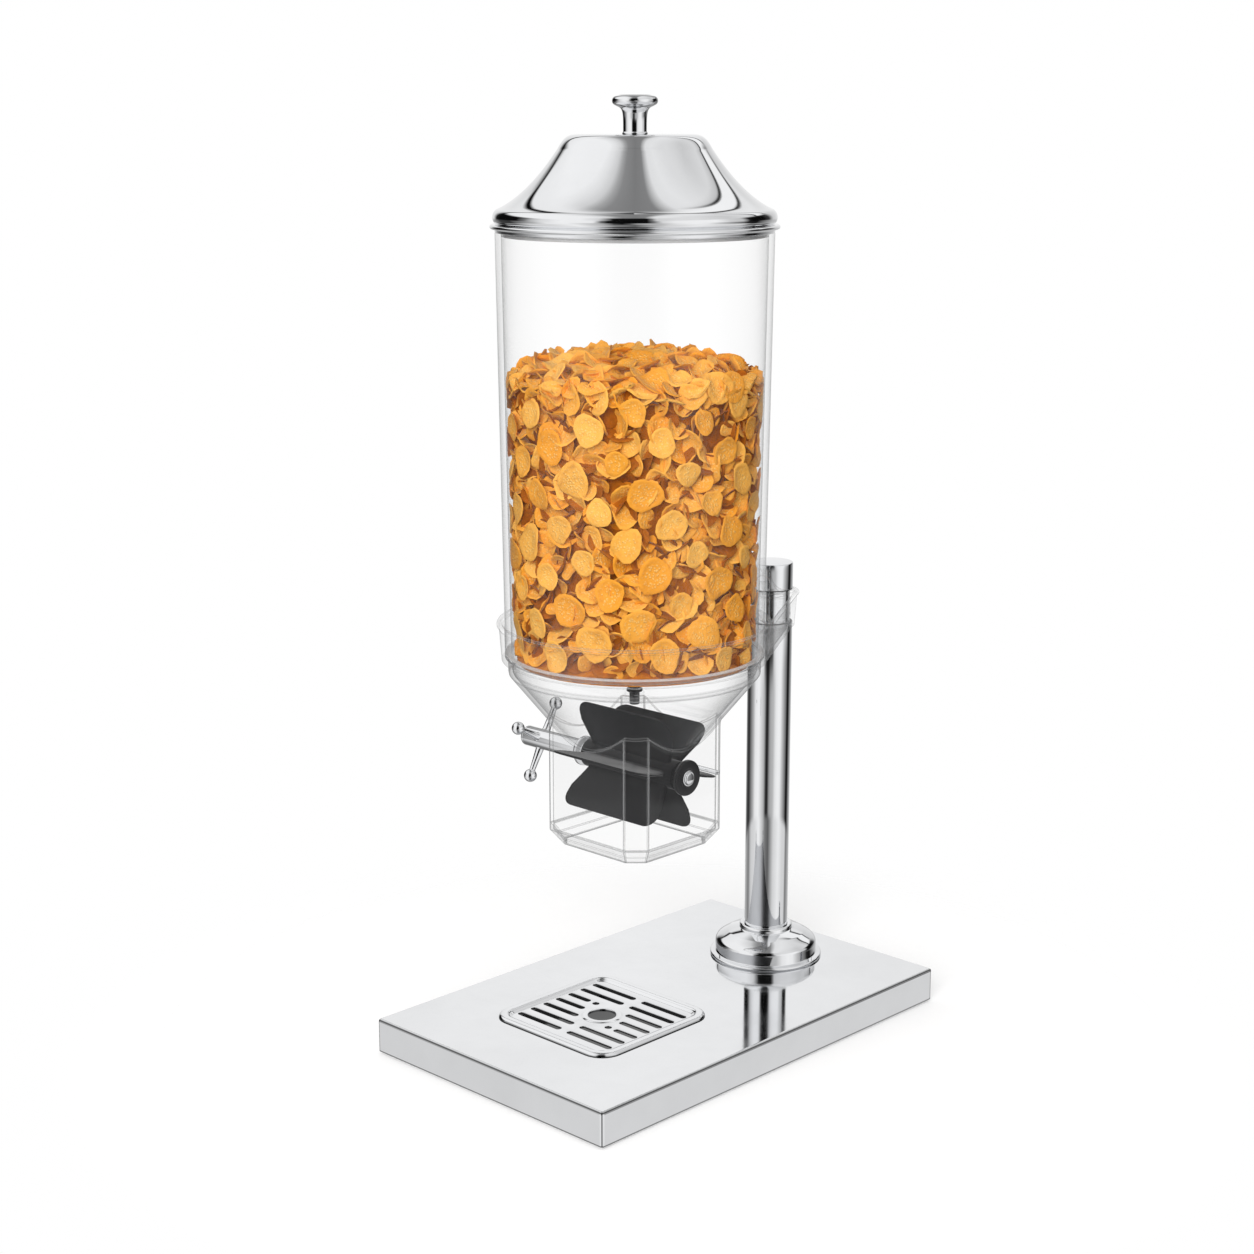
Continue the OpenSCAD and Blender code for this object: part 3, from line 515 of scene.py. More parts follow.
def siliconeFinish(name):
    def build(board):
        where = board.position()
        cloud = board.noise(where, 60.0, 3.0)
        milk = board.node("ShaderNodeBsdfPrincipled", None, {
            "Base Color": board.mixed(cloud, (0.80, 0.81, 0.82, 1), (0.9, 0.9, 0.9, 1)),
            "Roughness": board.between(cloud, 0.3, 0.7, 0.25, 0.45),
            "Normal": board.bump(board.noise(where, 400.0), 0.1, 0.0003)})
        clear = board.node("ShaderNodeBsdfTransparent", None, {"Color": grey(0.93)})
        share = board.between(cloud, 0.2, 0.8, 0.3, 0.45)
        return board.node("ShaderNodeMixShader", None, {0: share, 1: clear, 2: milk})

    return newFinish(name, build)


postAxis = (0, place["postY"], 0)
canisterAxis = (0, place["axisY"], 0)
shaftAxis = (0, place["axisY"], place["wheelZ"])
finishes = {
    "sheet": steelFinish("polishedSheet", wave=0.012, polish=0.05),
    "post": steelFinish("polishedPost", "Z", postAxis),
    "lid": steelFinish("spunLid", "Z", canisterAxis, polish=0.025),
    "shaft": steelFinish("turnedShaft", polish=0.012, paintedDarkRim=0.92),
    "knob": steelFinish("turnedKnob", polish=0.012, paintedDarkRim=0.8),
    "tray": steelFinish("pressedTray", wave=0.02, polish=0.04),
    "inner": steelFinish("brushedSteel", polish=0.28, brushed=(40, 900, 900), tint=(0.62, 0.63, 0.65)),
    # through above 1 lets a little more light through than arrives, painted light that makes up for
    # what its surfaces mirror
    "canister": clearFinish("clearCanister", straight=0.013, edgePower=11.0, through=1.003),
    "moulding": clearFinish("clearMoulding", straight=0.018, edgePower=5.0, edgeGrey=0.35),
    "ring": clearFinish("clearRing", straight=0.01, veil=0.006, edgePower=14.0, edgeGrey=0.4,
                        through=0.998, grazing=0.25),
    "bridge": clearFinish("clearBridge", straight=0.01, edgePower=14.0, edgeGrey=0.7),
    "silicone": siliconeFinish("clearSilicone"),
    "wheel": darkFinish("wheelRubber", (0.011, 0.011, 0.012), 0.42, gloss=0.25),
    "rubber": darkFinish("footRubber", (0.016, 0.016, 0.016), 0.75),
    "black": darkFinish("blackPlastic", (0.012, 0.012, 0.013), 0.33, 900.0, 0.04),
    "flakes": flakeFinish("dryFlakes"),
    # the flakes behind and the core inside get darker plain colours as painted shade deep in the pile
    "under": flakeFinish("flakesBelowPaintedShade", ("gap", "toastedAndShade")),
    "core": flakeFinish("flakesInsidePaintedShade", ("toastedAndShade", "golden")),
}
print("finishes made:", len(finishes))


# camera, lights and floor

cameraPlan = {
    "from": (1.036, -1.106, 0.6355),
    "down": 12.7,
    "turn": 44.1,
    "lens": 2250 / 1254 * 36,
}
lens = bpy.data.cameras.new("view")
lens.lens = cameraPlan["lens"]
lens.sensor_width = 36
lens.clip_start, lens.clip_end = 0.05, 50
viewer = bpy.data.objects.new("view", lens)
viewer.location = cameraPlan["from"]
viewer.rotation_euler = (radians(90 - cameraPlan["down"]), 0, radians(cameraPlan["turn"]))
bpy.context.scene.collection.objects.link(viewer)
bpy.context.scene.camera = viewer
bpy.context.scene.view_settings.view_transform = "Standard"
bpy.context.scene.cycles.transparent_max_bounces = 32

studio = {  # what polished metal mirrors: display levels by compass angle from the front in degrees
    "ground": [
        (-180, 200), (-150, 170), (-120, 120), (-98, 205), (-74, 215), (-50, 240), (-30, 190),
        (-17, 120), (0, 90), (10, 140), (30, 210), (60, 235), (86, 212), (105, 208), (115, 120),
        (150, 180), (180, 200)],
    "low": [
        (-180, 200), (-160, 150), (-140, 60), (-120, 50), (-105, 119), (-88, 173), (-74, 230),
        (-55, 245), (-38, 206), (-27, 176), (-17, 60), (-10, 15), (-4, 80), (2, 150), (11, 173),
        (21, 182), (35, 228), (50, 245), (62, 235), (74, 193), (88, 145), (98, 110), (106, 30),
        (118, 20), (128, 110), (150, 180), (180, 200)],
    "middle": [
        (-180, 235), (-158, 215), (-148, 30), (-140, 10), (-108, 10), (-98, 110), (-90, 180),
        (-80, 215), (-60, 240), (-42, 247), (-33, 234), (-27, 110), (-22, 14), (0, 8), (10, 14),
        (15, 110), (22, 212), (33, 235), (51, 252), (70, 240), (84, 205), (98, 190), (106, 30),
        (111, 10), (128, 10), (138, 60), (148, 200), (180, 235)],
    "high": [
        (-180, 235), (-156, 225), (-151, 10), (-147, 10), (-144, 230), (-110, 248), (-92, 253),
        (-60, 252), (-45, 240), (-30, 212), (-22, 120), (-18, 14), (10, 14), (14, 120), (18, 204),
        (35, 218), (55, 219), (70, 210), (85, 200), (112, 215), (122, 190), (124, 40), (126, 40),
        (128, 252), (143, 252), (145, 40), (147, 40), (150, 225), (180, 235)],
    "ceiling": [  # by per cent to the right instead
        (-100, 200), (-75, 235), (-60, 252), (-45, 245), (-34, 225), (-25, 205), (-19, 165), (-13, 135),
        (0, 122), (10, 128), (14, 180), (19, 222), (30, 228), (45, 220), (60, 215), (72, 225),
        (80, 240), (100, 200)],
    "spread": 0.78,        # narrower at the top, so that dark lines run straight down a flared flank
    "groundRise": (-0.335, -0.32),  # the rise of a direction at which one band takes over from another
    "middleRise": (-0.12, -0.02),
    "highRise": (0.32, 0.45),
    "ceilingRise": (0.72, 0.88),
    "metal": 0.87,         # what the polished steel gives back
    "front": (0.6706, -0.7418, 0.0),  # towards the camera
    "right": (0.718, 0.696, 0.0),
    "daylight": (0.08, 0.97),   # from below and from above
}


def buildWorld():
    world = bpy.data.worlds.new("studio")
    bpy.context.scene.world = world
    world.use_nodes = True
    world.node_tree.nodes.clear()
    board = Board(world.node_tree)
    way = board.node("ShaderNodeTexCoord", out=0)

    def along(direction):
        return board.node("ShaderNodeVectorMath", {"operation": "DOT_PRODUCT"}, {0: way, 1: direction},
                          out=1)

    def band(levels, span, value):
        stops = [((at + span) / (2 * span), grey(min(1.0, toLight(shown) / studio["metal"])))
                 for at, shown in levels]
        return board.node("ShaderNodeValToRGB", {"stops": stops}, {0: value})

    aside = along(studio["right"])
    compass = board.node("ShaderNodeMath", {"operation": "ARCTAN2"},
                         {0: aside, 1: along(studio["front"])}) / (2 * pi) + 0.5
    rise = along((0, 0, 1))
    spread = (compass - 0.5) * board.between(rise, 0.4, 0.9, 1.0, studio["spread"]) + 0.5
    around = band(studio["ground"], 180, compass)
    for key, levels, span, value in (("groundRise", "low", 180, compass),
                                     ("middleRise", "middle", 180, compass),
                                     ("highRise", "high", 180, spread),
                                     ("ceilingRise", "ceiling", 100, aside / 2 + 0.5)):
        around = board.mixed(board.between(rise, *studio[key], smooth=True), around,
                             band(studio[levels], span, value))
    rays = board.node("ShaderNodeLightPath")
    isCamera = Wire(board, rays.socket.node.outputs["Is Camera Ray"])
    isThrough = Wire(board, rays.socket.node.outputs["Is Transmission Ray"])
    isGlossy = Wire(board, rays.socket.node.outputs["Is Glossy Ray"])
    plain = board.node("ShaderNodeBackground", None, {
        "Color": grey(1), "Strength": board.between(rise, -0.3, 0.8, *studio["daylight"])})
    mirrored = board.node("ShaderNodeBackground", None, {"Color": around, "Strength": 1.0})
    white = board.node("ShaderNodeBackground", None, {"Color": grey(1), "Strength": 1.0})
    lit = board.node("ShaderNodeMixShader", None, {0: isGlossy, 1: plain, 2: mirrored})
    shown = board.node("ShaderNodeMixShader", None, {0: isCamera + isThrough, 1: lit, 2: white})
    board.node("ShaderNodeOutputWorld", None, {"Surface": shown})


floorPlan = {
    "radius": 0.46,
    "albedo": 0.72,
    "lift": 0.275,         # light of its own for the camera, so that the unshadowed floor is white
    "fade": (0.24, 0.43),  # where it fades into the background
}


def floorFinish():
    def build(board):
        where = board.position()
        rays = board.node("ShaderNodeLightPath")
        isCamera = Wire(board, rays.socket.node.outputs["Is Camera Ray"])
        paper = board.node("ShaderNodeBsdfDiffuse", None, {
            "Color": board.mixed(board.noise(where, 40.0), grey(floorPlan["albedo"]),
                                 grey(floorPlan["albedo"] * 0.985))})
        glow = board.node("ShaderNodeEmission", None,
                          {"Color": grey(1), "Strength": isCamera * floorPlan["lift"]})
        shown = board.node("ShaderNodeAddShader", None, {0: paper, 1: glow})
        away = board.node("ShaderNodeVectorMath", {"operation": "LENGTH"}, {0: where}, out=1)
        none = board.node("ShaderNodeBsdfTransparent", None, {"Color": grey(1)})
        return board.node("ShaderNodeMixShader", None, {
            0: board.between(away, *floorPlan["fade"], smooth=True), 1: shown, 2: none})

    return newFinish("paleFloor", build)


lampPlan = {
    "size": (0.9, 1.1),
    "power": 32,
    "colour": (1.0, 0.985, 0.97),
    "at": (1.0, -1.55, 0.95),
    "aim": (0, -0.03, 0.35),
}


def buildStage():
    outline = circleLoop(0, 0, floorPlan["radius"] * 1000, 96)
    sheet = meshFrom("floor", [(x, y, -0.3) for x, y in outline], [list(range(96))])
    floor = bpy.data.objects.new("floor", sheet)
    sheet.materials.append(floorFinish())
    bpy.context.scene.collection.objects.link(floor)
    floor.visible_glossy = False  # polished metal mirrors the studio's own ground instead
    lamp = bpy.data.lights.new("softbox", "AREA")
    lamp.shape = "RECTANGLE"
    lamp.size, lamp.size_y = lampPlan["size"]
    lamp.energy = lampPlan["power"]
    lamp.color = lampPlan["colour"]
    hung = bpy.data.objects.new("softbox", lamp)
    hung.location = lampPlan["at"]
    hung.rotation_euler = (Vector(lampPlan["aim"]) - hung.location).to_track_quat("-Z", "Y").to_euler()
    hung.visible_glossy = False
    bpy.context.scene.collection.objects.link(hung)


buildWorld()
buildStage()
print("camera, studio and floor set")


# base and post

basePlan = {
    "width": 220, "depth": 346, "foot": 1.5, "sheet": 1.5, "round": 2.0,
    "hole": 100.0, "holeCorner": 10.4, "rod": 4.5,
    "rim": (0, 0, 0.2, 0.85, 0.95, 0.3, 0),  # painted dark reflection line: how dark the seven rows of the rounded top edge are
}


def buildBase():
    p = basePlan
    top, sheet, r, foot = place["baseTop"], p["sheet"], p["round"], p["foot"]

    def edge(out):  # two more points on each long side keep the corners' rounding out of it
        loop = roundRectangle(p["width"], p["depth"], r + 0.2, out - r, steps=6)
        full = []
        for i, point in enumerate(loop):
            full.append(point)
            if i % 7 == 6:
                a, b = Vector(point), Vector(loop[(i + 1) % len(loop)])
                way = (b - a).normalized()
                full += [tuple(a + way), tuple(b - way)]
        return full

    side = [(edge(u), z) for u, z in reversed(arc(0, top - r, r, 0, 90, 6))]
    chain = [(edge(-0.6), top)] + [(loop, z, paintedDark) for (loop, z), paintedDark in zip(side, p["rim"])]
    # the rows round the foot carry painted shade along the bottom edge
    for out, z, *paintedDark in ((r, top - r - 0.3), (r, foot + 1.2), (r, foot + 0.7, 0.8),
                          (r, foot + 0.3, 0.9), (r - 0.3, foot, 0.9), (r - sheet + 0.3, foot),
                          (r - sheet, foot + 0.3), (r - sheet, top - sheet), (0, top - sheet)):
        chain.append((edge(out), z, *paintedDark))
    opening = roundRectangle(p["hole"], p["hole"], p["holeCorner"], middle=(0, place["trayY"]))
    rod = circleLoop(0, place["postY"], p["rod"], 32)
    holes = [[(loop, top), (loop, top - sheet)] for loop in (opening, rod)]
    addPiece("baseCover", plateMesh("baseCover", chain, holes, 30), finishes["sheet"], "stand",
             "polished_steel", "base_shell", mirrored=False)


postPlan = {
    "radius": 16.0, "bore": 14.5, "neck": 14.0, "neckFrom": 280.5, "neckHigh": 25.0, "top": 324.5,
    "flange": 41.5, "washer": 0.6, "rod": 4.05, "capThread": 4.0,
}


def buildPost():
    p = postPlan
    base, r = place["baseTop"], p["radius"]
    shoulder = p["neckFrom"] - 2

    def turned(name, outline, node, finish="post", slot="polished_steel", steps=128):
        mesh = latheMesh(name, outline, "Z", postAxis, steps)
        addPiece(name, mesh, finishes[finish], "stand", slot, node)

    band, collar = p["flange"] - 4, r + 3.6
    foot = softened([(r + 0.05, 0, 0.1), (p["flange"] - 0.6, 0, 0.2)]
                    + arc(p["flange"] - 1.2, 1.2, 1.2, -30, 90, 8) + [(band, 2.9, 0.4)]
                    + bend((band, 10), (band, 13.6), (band - 4, 15.4), (band - 9.6, 18.6), 20)
                    + [(collar + 1.6, 20.6), (collar, 21.2, 0.3)]
                    + arc(collar - 1.6, 22.9, 1.6, 0, 90, 8) + [(r + 0.05, 24.2, 0.15)], 0.3, 4)
    turned("postFoot", [(x, z + base + 0.02) for x, z in foot], "post_flange")
    tube = softened([(p["bore"], base + 0.02), (r, base + 0.02), (r, shoulder), (p["bore"], shoulder)],
                    0.25)
    turned("postTube", tube, "post_tube", steps=160)
    plug, top = p["bore"] - 0.05, p["neckFrom"] + p["neckHigh"]
    rod, thread = p["rod"], p["capThread"]
    spigot = softened([(0, shoulder - 9), (rod, shoulder - 9), (rod, shoulder - 28.5),
                       (plug, shoulder - 28.5), (plug, shoulder), (r, shoulder + 0.02),
                       (r, p["neckFrom"]), (p["neck"], p["neckFrom"]), (p["neck"], top), (rod, top),
                       (rod, top - 13), (0, top - 13)], 0.2)
    turned("postSpigot", spigot, "post_spigot")
    cap = softened([(0, top - 12), (thread, top - 12), (thread, top), (r, top), (r, p["top"], 0.9),
                    (0, p["top"])], 0.25, 4)
    turned("postCap", cap, "post_cap", steps=160)
    rings = []
    for z in (p["neckFrom"], top - p["washer"]):
        section = softened([(14.1, z), (15.9, z), (15.9, z + p["washer"]), (14.1, z + p["washer"])],
                           0.12)
        rings.append(latheMesh("washer", section, "Z", postAxis, 96))
    addPiece("sleeveWashers", joinedMesh("sleeveWashers", rings), finishes["black"], "stand",
             "black_plastic", "sleeve_washers")


buildBase()
buildPost()
print("base and post made")


# repeated pieces, made with geometry nodes

def newTree(name, inputs):
    tree = bpy.data.node_groups.new(name, "GeometryNodeTree")
    tree.interface.new_socket(name="Geometry", in_out="INPUT", socket_type="NodeSocketGeometry")
    keys = {}
    for label, kind, value in inputs:
        socket = tree.interface.new_socket(name=label, in_out="INPUT", socket_type=kind)
        if value is not None:
            socket.default_value = value
        keys[label] = socket.identifier
    tree.interface.new_socket(name="Geometry", in_out="OUTPUT", socket_type="NodeSocketGeometry")
    board = Board(tree)
    entry = board.node("NodeGroupInput").socket.node
    return tree, board, entry, keys


def closeTree(board, geometry, finish, after=None):
    real = board.node("GeometryNodeRealizeInstances", None, {0: geometry})
    if after:
        real = after(real)
    painted = board.node("GeometryNodeSetMaterial", None, {"Geometry": real, "Material": finish})
    board.node("NodeGroupOutput", None, {0: painted})


def bake(name, host, tree, keys, values):
    item = bpy.data.objects.new(name + "Host", host)
    bpy.context.scene.collection.objects.link(item)
    live = item.modifiers.new("build", "NODES")
    live.node_group = tree
    for label, value in values.items():
        live[keys[label]] = value
    mesh = bpy.data.meshes.new_from_object(item.evaluated_get(bpy.context.evaluated_depsgraph_get()))
    item.modifiers.remove(live)
    bpy.data.objects.remove(item)
    mesh.name = name
    return mesh


def spokesTree(finish):  # copies of the host's mesh, turned about the X axis through the middle
    tree, board, entry, keys = newTree("spokesAboutShaft", [
        ("Count", "NodeSocketInt", 4), ("First Angle", "NodeSocketFloat", 0.0),
        ("Centre", "NodeSocketVector", None)])

    def given(label):
        return Wire(board, entry.outputs[label])

    spots = board.node("GeometryNodePoints", None,
                       {"Count": given("Count"), "Position": given("Centre")})
    number = board.node("GeometryNodeInputIndex")
    angle = given("First Angle") + number * (2 * pi) / given("Count")
    turn = board.node("FunctionNodeEulerToRotation", None,
                      {0: board.node("ShaderNodeCombineXYZ", None, {"X": angle})})
    copies = board.node("GeometryNodeInstanceOnPoints", None,
                        {"Points": spots, "Instance": given("Geometry"), "Rotation": turn})
    closeTree(board, copies, finish)
    return tree, keys


def spotsTree(finish):  # copies of the host's mesh on the corners of a rectangle
    tree, board, entry, keys = newTree("copiesAtCorners", [
        ("Width", "NodeSocketFloat", 0.1), ("Depth", "NodeSocketFloat", 0.1)])
    grid = board.node("GeometryNodeMeshGrid", None, {
        "Size X": Wire(board, entry.outputs["Width"]), "Size Y": Wire(board, entry.outputs["Depth"]),
        "Vertices X": 2, "Vertices Y": 2})
    copies = board.node("GeometryNodeInstanceOnPoints", None,
                        {"Points": grid, "Instance": Wire(board, entry.outputs["Geometry"])})
    closeTree(board, copies, finish)
    return tree, keys


feetPlan = {"radius": 12.0, "well": 4.6, "screw": 2.25, "high": 3.0, "inset": 18}


def buildFeet():
    p = feetPlan
    foot = softened([(p["screw"], p["high"]), (p["screw"], p["high"] - 0.8),
                     (p["well"], p["high"] - 0.8), (p["well"], 0), (p["radius"], 0, 0.8),
                     (p["radius"], p["high"])], 0.25, 4)
    tree, keys = spotsTree(finishes["rubber"])
    mesh = bake("rubberFeet", latheMesh("foot", foot, steps=64), tree, keys,
                {"Width": (basePlan["width"] - 2 * p["inset"]) / 1000,
                 "Depth": (basePlan["depth"] - 2 * p["inset"]) / 1000})
    addPiece("rubberFeet", mesh, finishes["rubber"], "stand", "black_rubber", "base_feet")


# crumb tray and grille

trayPlan = {
    "width": 111.0, "corner": 16.0, "rim": 3.2, "rimWidth": 7.0, "floor": 8.0, "wall": 1.0,
    "ledge": 3.9,
    # painted shade: how dark the rows from the floor up are
    "inside": [0.92, 0.94, 1.0, 1.0, 1.0, 0.9, 0.9, 0.9, 0.6],
    "under": [0.5, 0.9, 0.95, 0.9, 0.4],  # and the painted shade of those under the rim's outer edge
}
grillePlan = {
    "rows": 7, "pitch": 12.3, "slot": 4.6, "finger": 20.0, "thick": 1.2, "top": 26.6, "edge": 0.35,
    "cornerRound": 16, "boss": 4.5,
}


def buildTray():
    p = trayPlan
    half, base = p["width"] / 2, place["baseTop"]
    core = half - p["corner"]
    well = half - p["rimWidth"] - core
    low, top = base + 0.05, base + p["rim"]
    ledge = grillePlan["top"] - grillePlan["thick"] - 0.05

    def loop(u):
        return roundRectangle(p["width"], p["width"], p["corner"], u - p["corner"], (0, place["trayY"]))

    line = [(well - 1.5, p["floor"]), (well - 0.4, p["floor"] + 0.3), (well, p["floor"] + 1.4),
            (well, ledge - 1.2), (well - 0.3, ledge - 1), (well - p["ledge"] + 0.3, ledge - 1),
            (well - p["ledge"], ledge - 0.5), (well - p["ledge"] + 0.3, ledge), (well - 0.4, ledge),
            (well, ledge + 0.4)]
    line += list(reversed(arc(well + 1.9, top - 1.9, 1.9, 90, 180, 8)))
    line += list(reversed(arc(p["corner"] - 2.6, top - 2.6, 2.6, 0, 90, 10)))
    line += [(p["corner"], low + 0.1), (p["corner"] - 0.3, low), (well + p["wall"] + 0.2, low),
             (well + p["wall"], low - 0.3), (well + p["wall"], p["floor"] + 0.4),
             (well + p["wall"] - 1.4, p["floor"] - 1)]
    # painted shade inside the well and under the rim's outer edge
    paintedDark = p["inside"] + [0] * 18 + p["under"]
    chain = [(loop(u), z, paintedDark[i] if i < len(paintedDark) else 0) for i, (u, z) in enumerate(line)]
    addPiece("crumbTray", plateMesh("crumbTray", chain), finishes["tray"], "tray", "polished_steel",
             "crumb_tray", mirrored=False)


def slotLoop(a, b, y, radius):
    low, high = min(a, b) + grillePlan["slot"] / 2, max(a, b) - grillePlan["slot"] / 2
    return arc(high, y, radius, -90, 90, 10) + arc(low, y, radius, 90, 270, 10)


def buildGrille():
    p = grillePlan
    half = trayPlan["width"] / 2
    core, well = half - trayPlan["corner"], half - trayPlan["rimWidth"]
    flat, edge = well - 2.6 - core, well - p["edge"] - core
    boss, slot, top = p["finger"] / 2 + p["boss"], p["slot"] / 2, p["top"]
    low = top - p["thick"]
    slots = []
    for row in range(-(p["rows"] // 2), p["rows"] // 2 + 1):
        y = row * p["pitch"]
        inner = sqrt((boss + 1) ** 2 - y * y) + slot if abs(y) < boss + 1 else 3.5
        for side in (-1, 1):
            split = abs(row) == 1 and side * row < 0
            if split:
                slots.append((side * (inner + 4), side * (inner + 9), y))
            slots.append((side * (inner + 12.5 if split else inner), side * (well - 2.6 - 1), y))

    def moved(loop):
        return [(x, y + place["trayY"]) for x, y in loop]

    def around(u):
        corner = p["cornerRound"]
        return roundRectangle(2 * (core + corner), 2 * (core + corner), corner, u - corner,
                              (0, place["trayY"]))

    rim = [(flat - 0.6, top), (flat - 0.1, top + 0.02), (flat + 0.3, top + 0.2),
           (edge - 0.5, top + 1.25), (edge - 0.2, top + 1.4), (edge, top + 1.25), (edge, top + 0.35),
           (edge - 0.2, top + 0.1), (flat + 0.1, low + 0.05), (flat - 0.6, low)]
    outer = [(around(u), z) for u, z in rim]
    holes = []
    # slot walls and the finger hole's edge carry painted shade
    for a, b, y in slots:  # punched edges roll over a little at the top
        holes.append([(moved(slotLoop(a, b, y, r)), z, paintedDark) for r, z, paintedDark in
                      ((slot + 0.35, top, 0), (slot + 0.12, top - 0.08, 0.4), (slot, top - 0.3, 1),
                       (slot, low, 1))])
    hole = p["finger"] / 2
    raised = [(boss + 0.6, top), (boss, top + 0.12), (boss - 1, top + 0.55), (boss - 1.4, top + 0.6),
              (hole + 0.5, top + 0.6), (hole + 0.1, top + 0.45), (hole, top + 0.1), (hole, low)]
    holes.append([(moved(circleLoop(0, 0, r, 72)), z, 0.9 if r == hole else 0) for r, z in raised])
    addPiece("dripGrille", plateMesh("dripGrille", outer, holes), finishes["tray"], "grille",
             "polished_steel", "tray_grille", mirrored=False)


buildFeet()
buildTray()
buildGrille()
print("feet, tray and grille made")


# ring, hopper and chamber

ringPlan = {"sharp": 35, "round": 0.0006, "lines": 0.35}


# the source's own form, its edges rounded and marked for painted dark lines
def roundedCopy(node, sharp, width, level):
    form = bmesh.new()
    form.from_mesh(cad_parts[node].data)
    bmesh.ops.remove_doubles(form, verts=form.verts, dist=1e-6)
    line = form.verts.layers.float.new("paintedEdgeLine")
    edges = [edge for edge in form.edges
             if len(edge.link_faces) == 2 and edge.calc_face_angle() > radians(sharp)]
    made = bmesh.ops.bevel(form, geom=edges, offset=width, segments=2, profile=0.5, affect="EDGES",
                           clamp_overlap=True)
    strip = set(made["faces"])
    for corner in {corner for face in strip for corner in face.verts}:
        if all(face in strip for face in corner.link_faces):
            corner[line] = 1.0
    form.normal_update()
    for corner in form.verts:  # what faces up or down gets a fainter painted dark line
        corner[line] = max(corner[line], level * min(max((abs(corner.normal.z) - 0.55) / 0.3, 0), 1))
    mesh = bpy.data.meshes.new(node + "Copy")
    form.to_mesh(mesh)
    form.free()
    mesh.shade_smooth()
    mesh.set_sharp_from_angle(angle=radians(sharp))
    return mesh


hopperPlan = {
    "half": 47.5, "cut": 12.0, "corner": 3.0, "wall": 2.5, "outlet": 146.5, "collar": 157.5,
    "narrow": 0.8316, "coneZ": 234.7, "coneRadius": 58.7, "bandRadius": 86.2, "bandZ": 268.5,
    "lip": 280.0, "lipTop": 282.0, "lipRadius": 88.3, "fillet": 2.6, "bridgeZ": 247.0,
    "bridgeWidth": 8.0, "bridgeHigh": 5.0,
}


def cutSquare(half, cut, corner):
    edge = half - cut
    ring = [(half, -edge), (half, edge), (edge, half), (-edge, half), (-half, edge), (-half, -edge),
            (-edge, -half), (edge, -half)]
    rounded = []
    for i, point in enumerate(ring):
        here, back, ahead = Vector(point), Vector(ring[i - 1]), Vector(ring[(i + 1) % 8])
        turn = (back - here).angle(ahead - here)
        cutBack = corner / tan(turn / 2)
        toBack, toAhead = (back - here).normalized(), (ahead - here).normalized()
        start, end = here + toBack * cutBack, here + toAhead * cutBack
        middle = here + (toBack + toAhead).normalized() * (corner / sin(turn / 2))
        for k in range(6):
            spoke = (start - middle).lerp(end - middle, k / 5)
            rounded.append(middle + spoke.normalized() * corner)
    filled = []
    for i, point in enumerate(rounded):
        after = rounded[(i + 1) % len(rounded)]
        gap = 18 if (after - point).length > 30 else 3 if (after - point).length > 5 else 1
        # the middles of the rounded corners carry a painted dark line
        paintedEdgeLine = (0, 0, 1, 1, 0, 0)[i % 6]
        filled += [(point.lerp(after, k / gap), paintedEdgeLine if k == 0 else 0) for k in range(gap)]
    return [(atan2(q.y, q.x), q.length, paintedEdgeLine) for q, paintedEdgeLine in filled]


# rings of points with their painted edge line values, from the outlet to the cone's foot
def hopperRings(columns, inward, p):
    slope = (p["bandRadius"] - p["coneRadius"]) / (p["bandZ"] - p["coneZ"])

    def cone(z):
        return p["coneRadius"] + (z - p["coneZ"]) * slope - inward * 1.28

    def spot(angle, radius, z, paintedEdgeLine=0.0):
        return (radius * cos(angle), radius * sin(angle) + place["axisY"], z, paintedEdgeLine)

    rings = []
    for z, paintedEdgeLine in ((p["outlet"], 1), (p["outlet"] + 0.8, 0), (p["outlet"] + 4.4, 0),
                    (p["outlet"] + 4.8, 0.8), (p["outlet"] + 5.2, 0), (p["collar"] - 1, 0)):
        share = p["narrow"] + (1 - p["narrow"]) * (z - p["outlet"]) / (p["collar"] - p["outlet"])
        rings.append([spot(a, r * share, z, max(paintedEdgeLine, s)) for a, r, s in columns])
    rings.append([spot(a, r * 0.998, p["collar"], 1.0) for a, r, s in columns])
    rings.append([spot(a, r, p["collar"] + 1.0, s) for a, r, s in columns])
    for d, paintedEdgeLine in ((-5, 0), (-3.2, 0), (-2.0, 0), (-0.8, 0), (0, 0.7), (0.8, 0), (2.0, 0), (3.2, 0),
                    (5, 0)):
        ring = []
        for a, r, s in columns:
            z = p["coneZ"] + (r - p["coneRadius"] + inward * 1.28) / slope + d
            soft = max(p["fillet"] - abs(r - cone(z)), 0) / p["fillet"]
            ring.append(spot(a, max(r, cone(z)) + soft * soft * p["fillet"] / 4, z,
                             max(paintedEdgeLine, s if d < 0 else 0)))
        rings.append(ring)
    return rings, cone, spot


